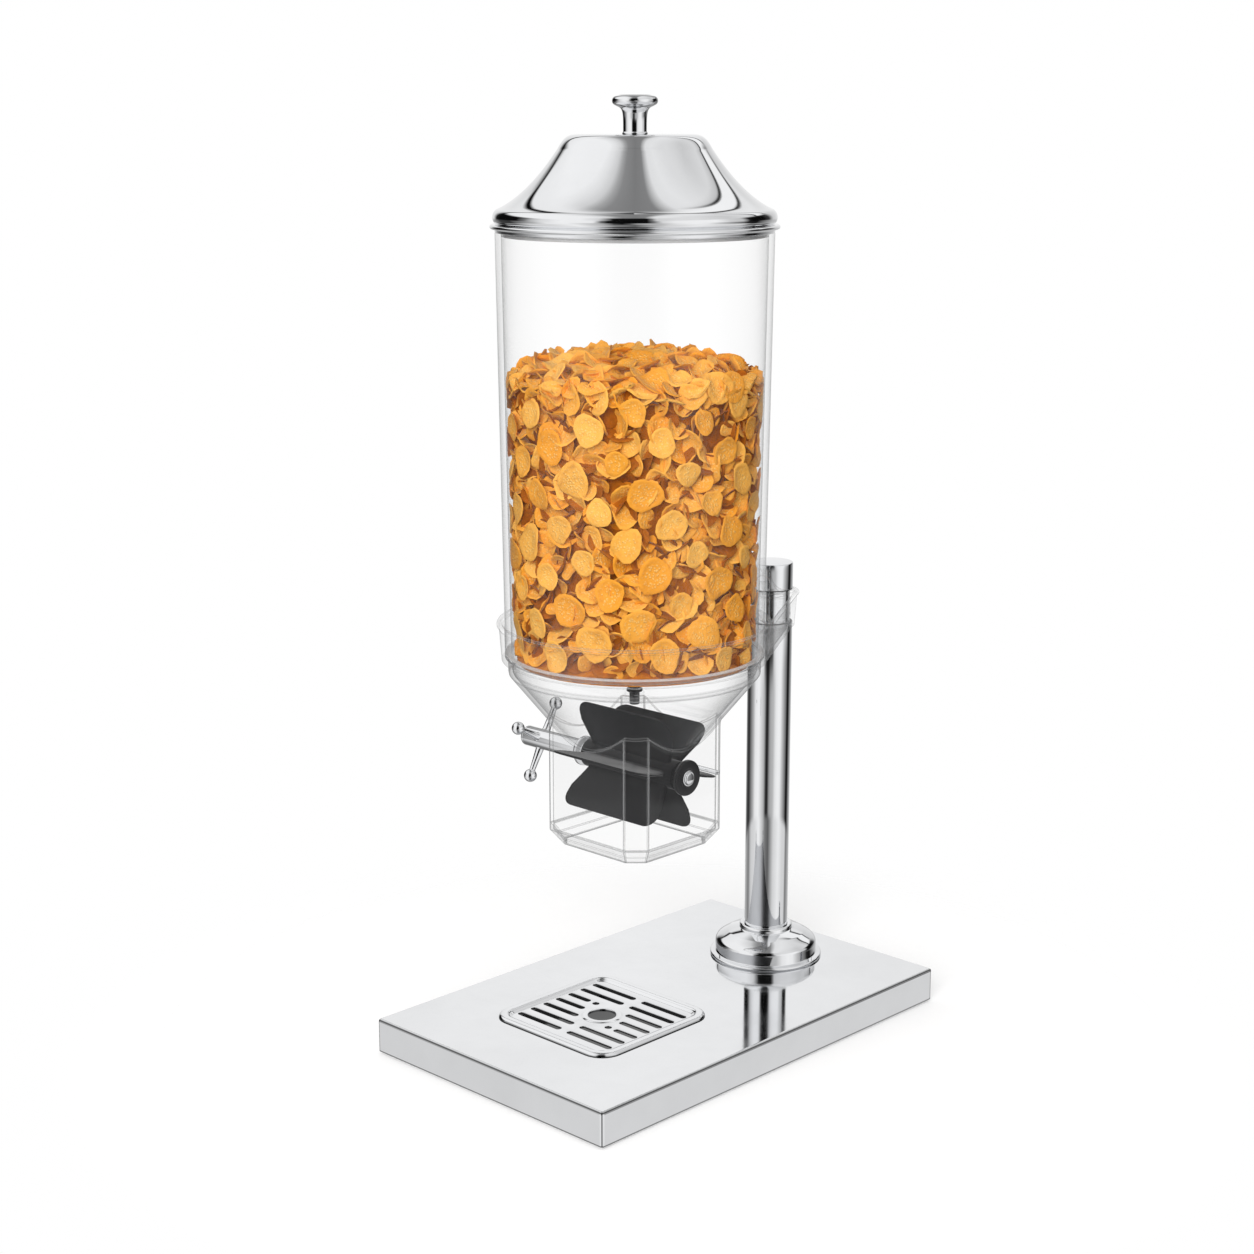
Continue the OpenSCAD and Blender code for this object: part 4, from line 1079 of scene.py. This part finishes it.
def buildHopper():
    p = hopperPlan
    wall, band = p["wall"], p["bandRadius"]
    outside = cutSquare(p["half"], p["cut"], p["corner"])
    inside = cutSquare(p["half"] - wall, p["cut"] - wall * 0.586, 1.2)
    outer, outerCone, spot = hopperRings(outside, 0.0, p)
    inner, innerCone, spot = hopperRings(inside, wall, p)

    def circles(columns, section):
        return [[spot(column[0], r, z, paintedEdgeLine) for column in columns] for r, z, paintedEdgeLine in section]

    z, lip, top = p["bandZ"], p["lip"], p["lipTop"]
    outer += circles(outside, [
        (outerCone(245), 245, 0), (outerCone(258), 258, 0), (outerCone(z - 1.6), z - 1.6, 0),
        (band - 0.35, z - 0.4, 1), (band, z + 1.2, 0), (band, lip - 0.4, 0), (band + 0.3, lip, 0.6),
        (p["lipRadius"] - 0.3, lip, 0), (p["lipRadius"], lip + 0.3, 0.6),
        (p["lipRadius"], top - 0.3, 0.6), (p["lipRadius"] - 0.3, top, 0)])
    inner += circles(inside, [
        (innerCone(245), 245, 0), (innerCone(258), 258, 0), (innerCone(z - 0.6), z - 0.6, 0),
        (band - wall - 0.2, z + 1.6, 0.6), (band - wall, z + 3.0, 0), (band - wall, top - 0.3, 0),
        (band - wall + 0.3, top, 0)])
    rings = outer + list(reversed(inner))
    count = len(outside)
    points = [q[:3] for ring in rings for q in ring]
    faces = []
    for i in range(len(rings)):
        j = (i + 1) % len(rings)
        for k in range(count):
            n = (k + 1) % count
            faces.append((i * count + k, i * count + n, j * count + n, j * count + k))
    shell = meshFrom("hopperShell", points, faces, 32, [q[3] for ring in rings for q in ring])
    addPiece("clearHopper", shell, finishes["moulding"], "hopper", "clear_plastic", "hopper", "chamber",
             mirrored=False)
    low, high, half = p["bridgeZ"], p["bridgeZ"] + p["bridgeHigh"], p["bridgeWidth"]
    steps = ((high, -1.0), (high - 0.3, -0.3), (high - 0.8, 0), (low + 0.8, 0), (low + 0.3, -0.3),
             (low, -1.0))
    middle = (0, place["axisY"])
    bar = plateMesh("bar", [
        (roundRectangle(2 * innerCone(z) + grow, half + grow, 0.9, middle=middle), z)
        for z, grow in steps])
    section = [(3.55, low + 0.02), (6.7, low + 0.02), (6.7, high + 2, 0.8), (3.55, high + 2)]
    boss = latheMesh("boss", softened(section, 0.3), "Z", canisterAxis, 64)
    addPiece("hopperBridge", joinedMesh("hopperBridge", [bar, boss]), finishes["bridge"], "hopper",
             "clear_plastic", "hopper_bridge")


def buildRing():
    p = ringPlan
    ring = roundedCopy("bracket_ring", p["sharp"], p["round"], p["lines"])
    addPiece("clearRing", ring, finishes["ring"], "hopper", "clear_plastic", "bracket_ring")
    low, high = hopperPlan["lipTop"] + 0.02, hopperPlan["lipTop"] + 0.98
    gasket = softened([(84, low), (88, low), (88, high), (84, high)], 0.25)
    addPiece("seatGasket", latheMesh("seatGasket", gasket, "Z", canisterAxis, 160),
             finishes["silicone"], "hopper", "clear_silicone", "seat_gasket")
    rod = [(0, 245), (3.2, 245), (3.5, 245.3), (3.5, 254), (5.2, 254.02), (5.5, 254.3), (5.5, 255.7),
           (5.2, 256), (3.5, 256)]
    rod += arc(0, 324.5, 3.5, 0, 90, 8)
    addPiece("agitatorRod", latheMesh("agitatorRod", rod, "Z", canisterAxis, 48), finishes["black"],
             "hopper", "black_plastic", "agitator_rod", mirrored=False)


def buildShaftPieces():
    def turned(name, outline, body, node, finish="shaft", slot="polished_steel", steps=96,
               at=shaftAxis):
        mesh = latheMesh(name, outline, "X", at, steps)
        addPiece(name, mesh, finishes[finish], body, slot, node, mirrored=False)

    wiper = softened([(0, -39.5), (0.8, -39.5), (1.6, -38.7), (1.6, 38.7), (0.8, 39.5), (0, 39.5)], 0.3)
    turned("wiperRod", wiper, "hopper", "wiper_rod", steps=32, at=(0, 13.7, 194.5))
    bush = [(4.05, -52), (8.6, -52, 0.5), (8.6, -50), (10.5, -50, 0.7), (10.5, -47.5, 0.3), (6, -47.5),
            (6, -45), (4.05, -45)]
    turned("handleBush", softened(bush, 0.25, 4), "hopper", "handle_bush")
    disc = [(4.05, 45), (6, 45), (6, 47.5), (12.35, 47.5, 0.3), (12.35, 50.3, 0.9), (6.6, 50.3, 0.2),
            (6.2, 49.9, 0.2), (4.05, 49.9)]
    turned("endBush", softened(disc, 0.2, 4), "hopper", "end_bush", "black", "black_plastic")
    shaft = [(0, -73.3), (4, -73.3), (4, 52.3, 1.0), (0, 52.3)]
    turned("driveShaft", softened(shaft, 0.3, 4), "wheel", "drive_shaft", steps=64)
    clip = [(4.03, 50.5), (5.4, 50.5), (5.4, 51.3), (4.03, 51.3)]
    turned("shaftClip", softened(clip, 0.3, 3), "wheel", "shaft_clip", steps=64)
    hub = [(0, -104.8), (7.15, -104.8, 0.4), (7.15, -52.3, 0.6), (4.05, -52.3), (4.05, -74.3),
           (0, -74.3)]
    turned("handleHub", softened(hub, 0.2, 4), "wheel", "handle_hub")
    cap = [(0, -98.8), (2, -98.8), (2, -104.8), (7.15, -104.82)]
    cap += bend((7.15, -106.06), (7.15, -107.86), (4.29, -108.4), (0, -108.4), 14)
    turned("hubCap", cap, "wheel", "hub_cap")


armPlan = {
    "count": 4, "first": 28, "x": -91.0, "reach": 27.5, "ball": 4.65, "root": 2.85, "tip": 2.0,
    "hub": 7.15,
}


def buildArms():
    p = armPlan
    meet = p["ball"] - sqrt(p["ball"] ** 2 - p["tip"] ** 2)
    arm = [(0, p["hub"] - 2.8), (2, p["hub"] - 2.8), (2, p["hub"] - 0.3),
           (p["root"] + 0.5, p["hub"] - 0.3), (p["root"] + 0.15, p["hub"] + 0.2),
           (p["root"], p["hub"] + 0.6), (p["tip"], p["reach"] - p["ball"] + meet - 0.5),
           (p["tip"] + 0.25, p["reach"] - p["ball"] + meet + 0.1)]
    start = -70
    arm += arc(0, p["reach"], p["ball"], start + 8, 90, 22)[:-1] + [(0, p["reach"] + p["ball"])]
    tree, keys = spokesTree(finishes["shaft"])
    mesh = bake("handleArms", latheMesh("arm", arm, steps=48), tree, keys,
                {"Count": p["count"], "First Angle": radians(-p["first"]),
                 "Centre": (p["x"] / 1000, place["axisY"] / 1000, place["wheelZ"] / 1000)})
    addPiece("handleArms", mesh, finishes["shaft"], "wheel", "polished_steel", "handle_arms",
             mirrored=False)


wheelPlan = {
    "vanes": 6, "first": -42, "radius": 41.8, "half": 43.4, "hub": 10.0, "waist": 7.0, "corner": 9.0,
    "root": 8, "straight": 6, "hang": 0.9,
    "thickness": [  # by distance from the shaft
        (8, 5.4), (10, 4.6), (10.7, 3.4), (12, 2.7), (14, 2.35), (18.8, 2.2), (22, 2.15), (26.8, 2.1),
        (30, 2.0)],
}


def buildWheel():
    p = wheelPlan
    root, bodyEnd = p["root"], p["radius"] - p["corner"]
    shaped = []  # distance from the shaft, half width and thickness
    for r, t in p["thickness"]:
        share = min(1.0, max(0.0, (r - root) / (bodyEnd - p["straight"] - root)))
        shaped.append((r, p["half"] - p["waist"] * (1 - share), t))
    for a in range(0, 91, 10):
        r = bodyEnd + p["corner"] * sin(radians(a))
        w = p["half"] - p["corner"] + p["corner"] * cos(radians(a))
        shaped.append((r, w, 2.0 - 0.5 * a / 90))
    columns = [-1, -0.97, -0.9, -0.75, -0.5, -0.25, 0, 0.25, 0.5, 0.75, 0.9, 0.97, 1]
    points, width = [], len(columns)
    for face in (-1, 1):
        for r, w, t in shaped:
            flex = p["hang"] * ((r - root) / 34) ** 2  # rubber vanes hang back a little
            for u in columns:
                edge = abs(u) == 1 or r >= p["radius"] - 0.01
                thin = 0.25 if edge else 0.8 if abs(u) == 0.97 else 1.0
                points.append((u * w, -face * t / 2 * thin + flex, r))
    rowsCount = len(shaped)
    size = rowsCount * width
    faces = []
    for side in (0, 1):
        for i in range(rowsCount - 1):
            for k in range(width - 1):
                a = side * size + i * width + k
                faces.append((a, a + 1, a + width + 1, a + width))
    for i in range(rowsCount - 1):
        for k in (0, width - 1):
            a = i * width + k
            faces.append((a, a + width, a + width + size, a + size))
    for i in (0, rowsCount - 1):
        for k in range(width - 1):
            a = i * width + k
            faces.append((a, a + 1, a + 1 + size, a + size))
    vane = meshFrom("vane", points, faces, 40)
    tree, keys = spokesTree(finishes["wheel"])
    vanes = bake("vanes", vane, tree, keys,
                 {"Count": p["vanes"], "First Angle": radians(p["first"] + 180),
                  "Centre": tuple(c / 1000 for c in shaftAxis)})
    addPiece("wheelVanes", vanes, finishes["wheel"], "wheel", "wheel_rubber", "paddle_wheel",
             mirrored=False)
    hub = [(4.05, -p["half"]), (p["hub"], -p["half"], 0.8), (p["hub"], p["half"], 0.8),
           (4.05, p["half"])]
    addPiece("wheelHub", latheMesh("wheelHub", softened(hub, 0.3, 4), "X", shaftAxis, 96),
             finishes["wheel"], "wheel", "wheel_rubber", "paddle_wheel", mirrored=False)


buildHopper()
buildRing()
buildShaftPieces()
buildArms()
buildWheel()
print("hopper, ring, wheel and handle made")


# canister, food and lid

canisterPlan = {  # foot and rim are the outer radii of its lower and upper end
    "low": 283.05, "high": 564.0, "foot": 88.0, "rim": 91.8, "wall": 4.0, "edge": 0.8,
}


def canisterAt(z):
    p = canisterPlan
    return p["foot"] + (p["rim"] - p["foot"]) * (z - p["low"]) / (p["high"] - p["low"])


def buildCanister():
    p = canisterPlan
    wall = [(p["foot"] - p["wall"], p["low"]), (p["foot"], p["low"]), (p["rim"], p["high"]),
            (p["rim"] - p["wall"], p["high"])]
    mesh = latheMesh("clearCanister", softened(wall, p["edge"], 6), "Z", canisterAxis, 192)
    addPiece("clearCanister", mesh, finishes["canister"], "canister", "clear_canister", "canister")


foodPlan = {
    "low": 277.0, "edge": 471.0, "crown": 17.0, "gap": 0.8, "flake": 10.8, "thick": 1.3, "segments": 16,
    "shapes": [  # dish, fold, saddle and wave of each kind of flake in millimetres
        (1.0, 0.3, 0.9, 0.8), (0.6, 0.0, 2.0, 1.0), (2.4, 0.9, 1.0, 1.2), (1.4, 2.2, 1.0, 1.4),
        (0.8, 3.8, 0.8, 1.6), (0.2, 1.0, 4.2, 1.8), (1.2, 2.4, 2.2, 3.6), (-0.8, 4.8, 1.6, 2.6),
        (1.6, 0.4, 1.2, 4.2)],
    "mainShapes": 4,       # the first of them lie against the wall, as in the source
    "mainCount": 112, "mainFirst": 289.0, "mainDepth": 1.9, "mainTilt": 0.2,
    "seed": 7,
    # name, side or top, depth, spacing, tilt, smallest, largest, seed, distance kept from the wall
    "layers": [
        ("sideUnder", "side", 11.0, 0.0090, 1.0, 0.7, 1.0, 3, 3.0),
        ("sideOuter", "side", 8.0, 0.0096, 0.85, 0.55, 1.0, 5, 1.2),
        ("topUnder", "top", 8.0, 0.0115, 1.0, 0.7, 1.0, 8, 0.0),
        ("topOuter", "top", 2.5, 0.0122, 0.55, 0.65, 1.1, 9, 0.0)],
    "coreDepth": 14,
}


def flakeMesh(shape, seed):  # a dished, folded or wavy disc with a rounded rim, about 21 mm wide
    p = foodPlan
    rng = random.Random(seed)
    phase = [rng.uniform(0, 2 * pi) for _ in range(5)]
    dish, fold, saddle, wave = shape
    segments = p["segments"]

    def surface(a, share):
        r = p["flake"] * share * (1 + 0.075 * cos(2 * a + phase[0]) + 0.065 * cos(3 * a + phase[1])
                                  + 0.035 * cos(5 * a + phase[2]))
        x, y = r * cos(a), r * sin(a)
        z = dish * share ** 2 + fold * (x / p["flake"]) ** 2
        z += saddle * share ** 2 * cos(2 * a + phase[3]) / 2
        return x, y, z + wave * share ** 3 * cos(3 * a + phase[4]) / 2 - dish / 2 - fold / 3

    points, marks, rows = [], [], []
    for face, shares in ((1, (0.55, 0.87)), (-1, (0.87,))):
        row = [[len(points)] * segments]
        x, y, z = surface(0, 0)
        points.append((x, y, z + face * p["thick"] / 2))
        marks.append(0.0)
        for share in shares:
            row.append(list(range(len(points), len(points) + segments)))
            for k in range(segments):
                x, y, z = surface(2 * pi * k / segments, share)
                points.append((x, y, z + face * p["thick"] / 2 * (1.15 if share > 0.8 else 1)))
                marks.append(share)
        rows.append(row)
    edge = list(range(len(points), len(points) + segments))
    points += [surface(2 * pi * k / segments, 1.0) for k in range(segments)]
    marks += [1.0] * segments
    faces = []
    for row in rows:
        for low, high in zip(row, row[1:] + [edge]):
            for k in range(segments):
                n = (k + 1) % segments
                corners = [low[k], high[k], high[n], low[n]]
                faces.append(corners[:3] if low[k] == low[n] else corners)
    return meshFrom("flake", points, faces, 100, marks, "rim")


def flakeTree(finish, shapes, ruled=False):
    tree, board, entry, keys = newTree("flakesOnSurface", [
        ("Spacing", "NodeSocketFloat", 0.01), ("Tilt", "NodeSocketFloat", 0.5),
        ("Smallest", "NodeSocketFloat", 0.8), ("Ruled Count", "NodeSocketInt", 0),
        ("Ruled Depth", "NodeSocketFloat", 0.003), ("Ruled Low", "NodeSocketFloat", 0.29),
        ("Ruled High", "NodeSocketFloat", 0.46), ("Largest", "NodeSocketFloat", 1.2),
        ("Seed", "NodeSocketInt", 1), ("Axis", "NodeSocketVector", None),
        ("Foot Radius", "NodeSocketFloat", 0.08), ("Widening", "NodeSocketFloat", 0.0),
        ("Foot Height", "NodeSocketFloat", 0.28)])

    def given(label):
        return Wire(board, entry.outputs[label])

    def chance(kind, low, high, extra):  # a random value, by the node's own socket numbers
        first, out = (2, 1) if kind == "FLOAT" else (4, 2)
        return board.node("FunctionNodeRandomValue", {"data_type": kind},
                          {first: low, first + 1: high, "Seed": given("Seed") + extra}, out=out)

    spots = board.node("GeometryNodeDistributePointsOnFaces", {"distribute_method": "POISSON"}, {
        "Mesh": given("Geometry"), "Distance Min": given("Spacing"), "Density Max": 60000.0,
        "Seed": given("Seed")})
    lie = Wire(board, spots.socket.node.outputs["Rotation"])
    if ruled:  # the source's rule: each flake a golden turn on from the last and a little higher
        number = board.node("GeometryNodeInputIndex")
        count = given("Ruled Count")
        turned = number * (pi * (3 - sqrt(5)))
        level = given("Ruled Low") + (given("Ruled High") - given("Ruled Low")) * (number + 0.5) / count
        wall = given("Foot Radius") + (level - given("Foot Height")) * given("Widening")
        out = wall - given("Ruled Depth")
        across = board.node("ShaderNodeMath", {"operation": "COSINE"}, {0: turned})
        aside = board.node("ShaderNodeMath", {"operation": "SINE"}, {0: turned})
        spot = board.node("ShaderNodeCombineXYZ", None,
                          {"X": out * across, "Y": out * aside, "Z": level})
        spot = board.node("ShaderNodeVectorMath", {"operation": "ADD"}, {0: spot, 1: given("Axis")})
        spots = board.node("GeometryNodePoints", None, {"Count": count, "Position": spot})
        lie = board.node("FunctionNodeEulerToRotation", None,
                         {0: board.node("ShaderNodeCombineXYZ", None, {"Y": pi / 2, "Z": turned})})
    tilt = given("Tilt")
    swing = board.node("ShaderNodeCombineXYZ", None, {
        "X": tilt * chance("FLOAT", -1.0, 1.0, 11), "Y": tilt * chance("FLOAT", -1.0, 1.0, 12),
        "Z": chance("FLOAT", 0.0, 6.283, 13)})
    swung = board.node("FunctionNodeRotateRotation", {"rotation_space": "LOCAL"},
                       {0: lie, 1: board.node("FunctionNodeEulerToRotation", None, {0: swing})})
    several = board.tree.nodes.new("GeometryNodeJoinGeometry")
    for shape in reversed(shapes):
        item = board.node("GeometryNodeObjectInfo", None, {"Object": shape, "As Instance": True}, out=4)
        board.tree.links.new(item.socket, several.inputs[0])
    copies = board.node("GeometryNodeInstanceOnPoints", None, {
        "Points": spots, "Instance": Wire(board, several.outputs[0]), "Pick Instance": True,
        "Instance Index": chance("INT", 0, len(shapes) - 1, 14), "Rotation": swung,
        "Scale": chance("FLOAT", given("Smallest"), given("Largest"), 15)})
    tone = chance("FLOAT", 0.0, 1.0, 16)
    toned = board.node("GeometryNodeStoreNamedAttribute", {"data_type": "FLOAT", "domain": "INSTANCE"},
                       {"Geometry": copies, "Name": "tone", "Value": tone})

    def pressed(real):  # no flake reaches into the canister's wall or foot
        spot = board.node("GeometryNodeInputPosition")
        apart = board.node("ShaderNodeVectorMath", {"operation": "SUBTRACT"},
                           {0: spot, 1: given("Axis")})
        flat = board.node("ShaderNodeVectorMath", {"operation": "MULTIPLY"}, {0: apart, 1: (1, 1, 0)})
        reach = board.node("ShaderNodeVectorMath", {"operation": "LENGTH"}, {0: flat}, out=1)
        height = board.node("ShaderNodeSeparateXYZ", None, {0: spot}, out=2)
        limit = given("Foot Radius") + (height - given("Foot Height")) * given("Widening")
        share = board.node("ShaderNodeMath", {"operation": "MINIMUM"}, {0: limit / reach, 1: 1.0})
        across = board.node("ShaderNodeVectorMath", {"operation": "SCALE"}, {0: flat, "Scale": share})
        level = board.node("ShaderNodeMath", {"operation": "MAXIMUM"},
                           {0: height, 1: given("Foot Height")})
        up = board.node("ShaderNodeCombineXYZ", None, {"Z": level})
        axis = board.node("ShaderNodeVectorMath", {"operation": "MULTIPLY"},
                          {0: given("Axis"), 1: (1, 1, 0)})
        total = board.node("ShaderNodeVectorMath", {"operation": "ADD"}, {
            0: across, 1: board.node("ShaderNodeVectorMath", {"operation": "ADD"}, {0: up, 1: axis})})
        return board.node("GeometryNodeSetPosition", None, {"Geometry": real, "Position": total})

    closeTree(board, toned, finish, pressed)
    return tree, keys


def buildFood():
    p = foodPlan
    c = canisterPlan
    low, edge, crown = p["low"], p["edge"], p["crown"]
    inner = canisterAt(low) - c["wall"] - p["gap"]
    shapes = []
    for i, kind in enumerate(p["shapes"]):
        shape = bpy.data.objects.new("flakeShape%d" % i, flakeMesh(kind, p["seed"] * 10 + i))
        bpy.context.scene.collection.objects.link(shape)
        shapes.append(shape)
    tree, keys = flakeTree(finishes["flakes"], shapes)
    common = {"Axis": (0, place["axisY"] / 1000, 0), "Foot Radius": inner / 1000,
              "Foot Height": (low + 0.3) / 1000,
              "Widening": (c["rim"] - c["foot"]) / (c["high"] - c["low"])}

    def host(name, outline):  # an open surface of revolution, facing outwards
        steps, points, faces = 64, [], []
        for r, z in outline:
            points += [(r * cos(2 * pi * k / steps), r * sin(2 * pi * k / steps) + place["axisY"], z)
                       for k in range(steps)]
        for i in range(len(outline) - 1):
            for k in range(steps):
                n = (k + 1) % steps
                faces.append((i * steps + k, i * steps + n, (i + 1) * steps + n, (i + 1) * steps + k))
        mesh = bpy.data.meshes.new(name)
        mesh.from_pydata([tuple(v * 0.001 for v in q) for q in points], [], faces)
        return mesh

    def side(depth):
        return [(canisterAt(z) - c["wall"] - depth, z) for z in (low + 6, 330, 380, 430, edge - 4)]

    def top(depth):
        r = canisterAt(edge) - c["wall"] - 3
        line = bend((r, edge), (r * 0.85, edge + crown * 0.55), (r * 0.5, edge + crown),
                    (0.4, edge + crown), 10)
        return [(x, z - depth) for x, z in line]

    baked = {}
    for name, part, depth, spacing, tilt, small, large, seed, away in p["layers"]:
        values = {**common, "Foot Radius": (inner - away) / 1000, "Spacing": spacing, "Tilt": tilt,
                  "Smallest": small, "Largest": large, "Seed": seed}
        outline = side(depth) if part == "side" else top(depth)
        baked[name] = bake(name, host(name, outline), tree, keys, values)
    tree, keys = flakeTree(finishes["flakes"], shapes[:p["mainShapes"]], True)
    baked["main"] = bake("main", host("main", side(3)), tree, keys, {
        **common, "Tilt": p["mainTilt"], "Smallest": 0.72, "Largest": 1.14, "Seed": 21,
        "Ruled Count": p["mainCount"], "Ruled Depth": p["mainDepth"] / 1000,
        "Ruled Low": p["mainFirst"] / 1000, "Ruled High": (edge - 8) / 1000})
    print("flakes", {name: len(mesh.vertices) // (2 + 4 * p["segments"])
                     for name, mesh in baked.items()})
    for shape in shapes:
        bpy.data.objects.remove(shape)
    for name, parts in (("flakesBySide", ("main", "sideOuter")), ("flakesBehind", ("sideUnder",)),
                        ("flakesOnTop", ("topUnder", "topOuter"))):
        mesh = joinedMesh(name, [baked[part] for part in parts], 100)
        # the layer behind gets the darker finish, painted shade deep in the pile
        finish = finishes["under" if name == "flakesBehind" else "flakes"]
        addPiece(name, mesh, finish, "canister", "cereal", "cereal_fill", mirrored=False)
    # the core inside is darker, painted shade deep in the pile
    depth = p["coreDepth"]
    wide = canisterAt(edge) - c["wall"] - depth
    core = [(0, low), (inner - 3, low), (inner - 3, low + 2), (inner - depth, low + 8),
            (wide, edge - 4)]
    core += bend((wide, edge - 2), (60, edge + 2), (40, edge + crown - 12), (0, edge + crown - 11), 8)
    addPiece("flakeCore", latheMesh("flakeCore", core, "Z", canisterAxis, 64), finishes["core"],
             "canister", "cereal", "cereal_fill", mirrored=False)


lidPlan = {
    "z": 564.05, "top": 626.5, "sheet": 1.2, "rim": 91.8, "bead": 95.1, "beadTop": 5.4, "beadLow": 1.9,
    "skirt": 86.4, "skirtHigh": 3.0, "stem": 7.75, "screw": 2.7, "knobHigh": 25.2, "knob": 15.0,
}


def buildLid():
    p = lidPlan
    top, z, r = p["top"], p["z"], p["rim"]
    line = [(p["screw"], top), (20, top)]
    line += bend((38, top), (44.5, top), (47.2, top - 3.4), (50.5, top - 9.4), 28)
    line += bend((51.2, top - 10.4), (57, top - 18.8), (70, top - 37), (r - 4.4, top - 46.4), 28)
    line += bend((r - 2.2, top - 47.4), (r + 1.8, top - 48.8), (r + 2.6, top - 54.6),
                 (r - 0.4, z + p["beadTop"] + 0.1), 20)
    inside = insetLine(line, p["sheet"])
    bead = bend((r - 0.4, z + p["beadTop"] - 0.1), (p["bead"] + 1.2, z + p["beadTop"] + 0.3),
                (p["bead"] + 1.2, z + p["beadLow"] - 0.3), (r + 0.1, z + p["beadLow"]), 16)
    skirt, foot = p["skirt"], z - p["skirtHigh"]
    hem = [(r, z + p["beadLow"] - 0.4), (r, z), (skirt, z), (skirt, foot), (skirt - p["sheet"], foot),
           (skirt - p["sheet"], z + p["beadTop"])]
    outline = line + bead + hem + list(reversed(inside))
    addPiece("spunLid", latheMesh("spunLid", softened(outline, 0.35, 4), "Z", canisterAxis, 192, 40),
             finishes["lid"], "lid", "polished_steel", "lid_crown", "lid_shell", "lid_rim")
    s, k, head = p["stem"], p["knob"], top + p["knobHigh"]
    knob = [(0, top + 13), (2.55, top + 13), (2.55, top + 0.02), (s + 0.6, top + 0.02),
            (s + 0.6, top + 0.8)]
    knob += bend((s, top + 1.6), (s, top + p["knobHigh"] * 0.55), (s, head - 9), (k - 3.4, head - 7.6),
                 20)
    knob += arc(k - 3, head - 4, 3, -60, 90, 16)
    knob += bend((k - 5, head - 0.3), (k - 8, head - 1), (k * 0.3, head - 1.3), (0, head - 1.3), 10)
    addPiece("lidKnob", latheMesh("lidKnob", softened(knob, 0.25, 3), "Z", canisterAxis, 96, 40),
             finishes["knob"], "lid", "polished_steel", "lid_knob")
    seal = softened([(86.42, z - 2.8), (87.5, z - 2.8), (87.5, z - 0.8), (86.42, z - 0.8)], 0.3)
    addPiece("lidSeal", latheMesh("lidSeal", seal, "Z", canisterAxis, 160), finishes["silicone"], "lid",
             "clear_silicone", "lid_seal")


buildCanister()
buildFood()
buildLid()
print("canister, food and lid made")


# the source's own pieces that stay get their finish here

kept = {
    "base_plate": "inner", "base_standoffs": "inner", "foot_screws": "inner",
    "post_backing_plate": "inner", "tie_rod": "inner", "tie_washer": "inner", "tie_nut": "inner",
    "drive_pin": "inner", "hub_screw": "black", "knob_screw": "inner", "knob_washer": "inner",
}
for node, finish in kept.items():
    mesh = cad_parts[node].data
    mesh.materials.clear()
    mesh.materials.append(finishes[finish])
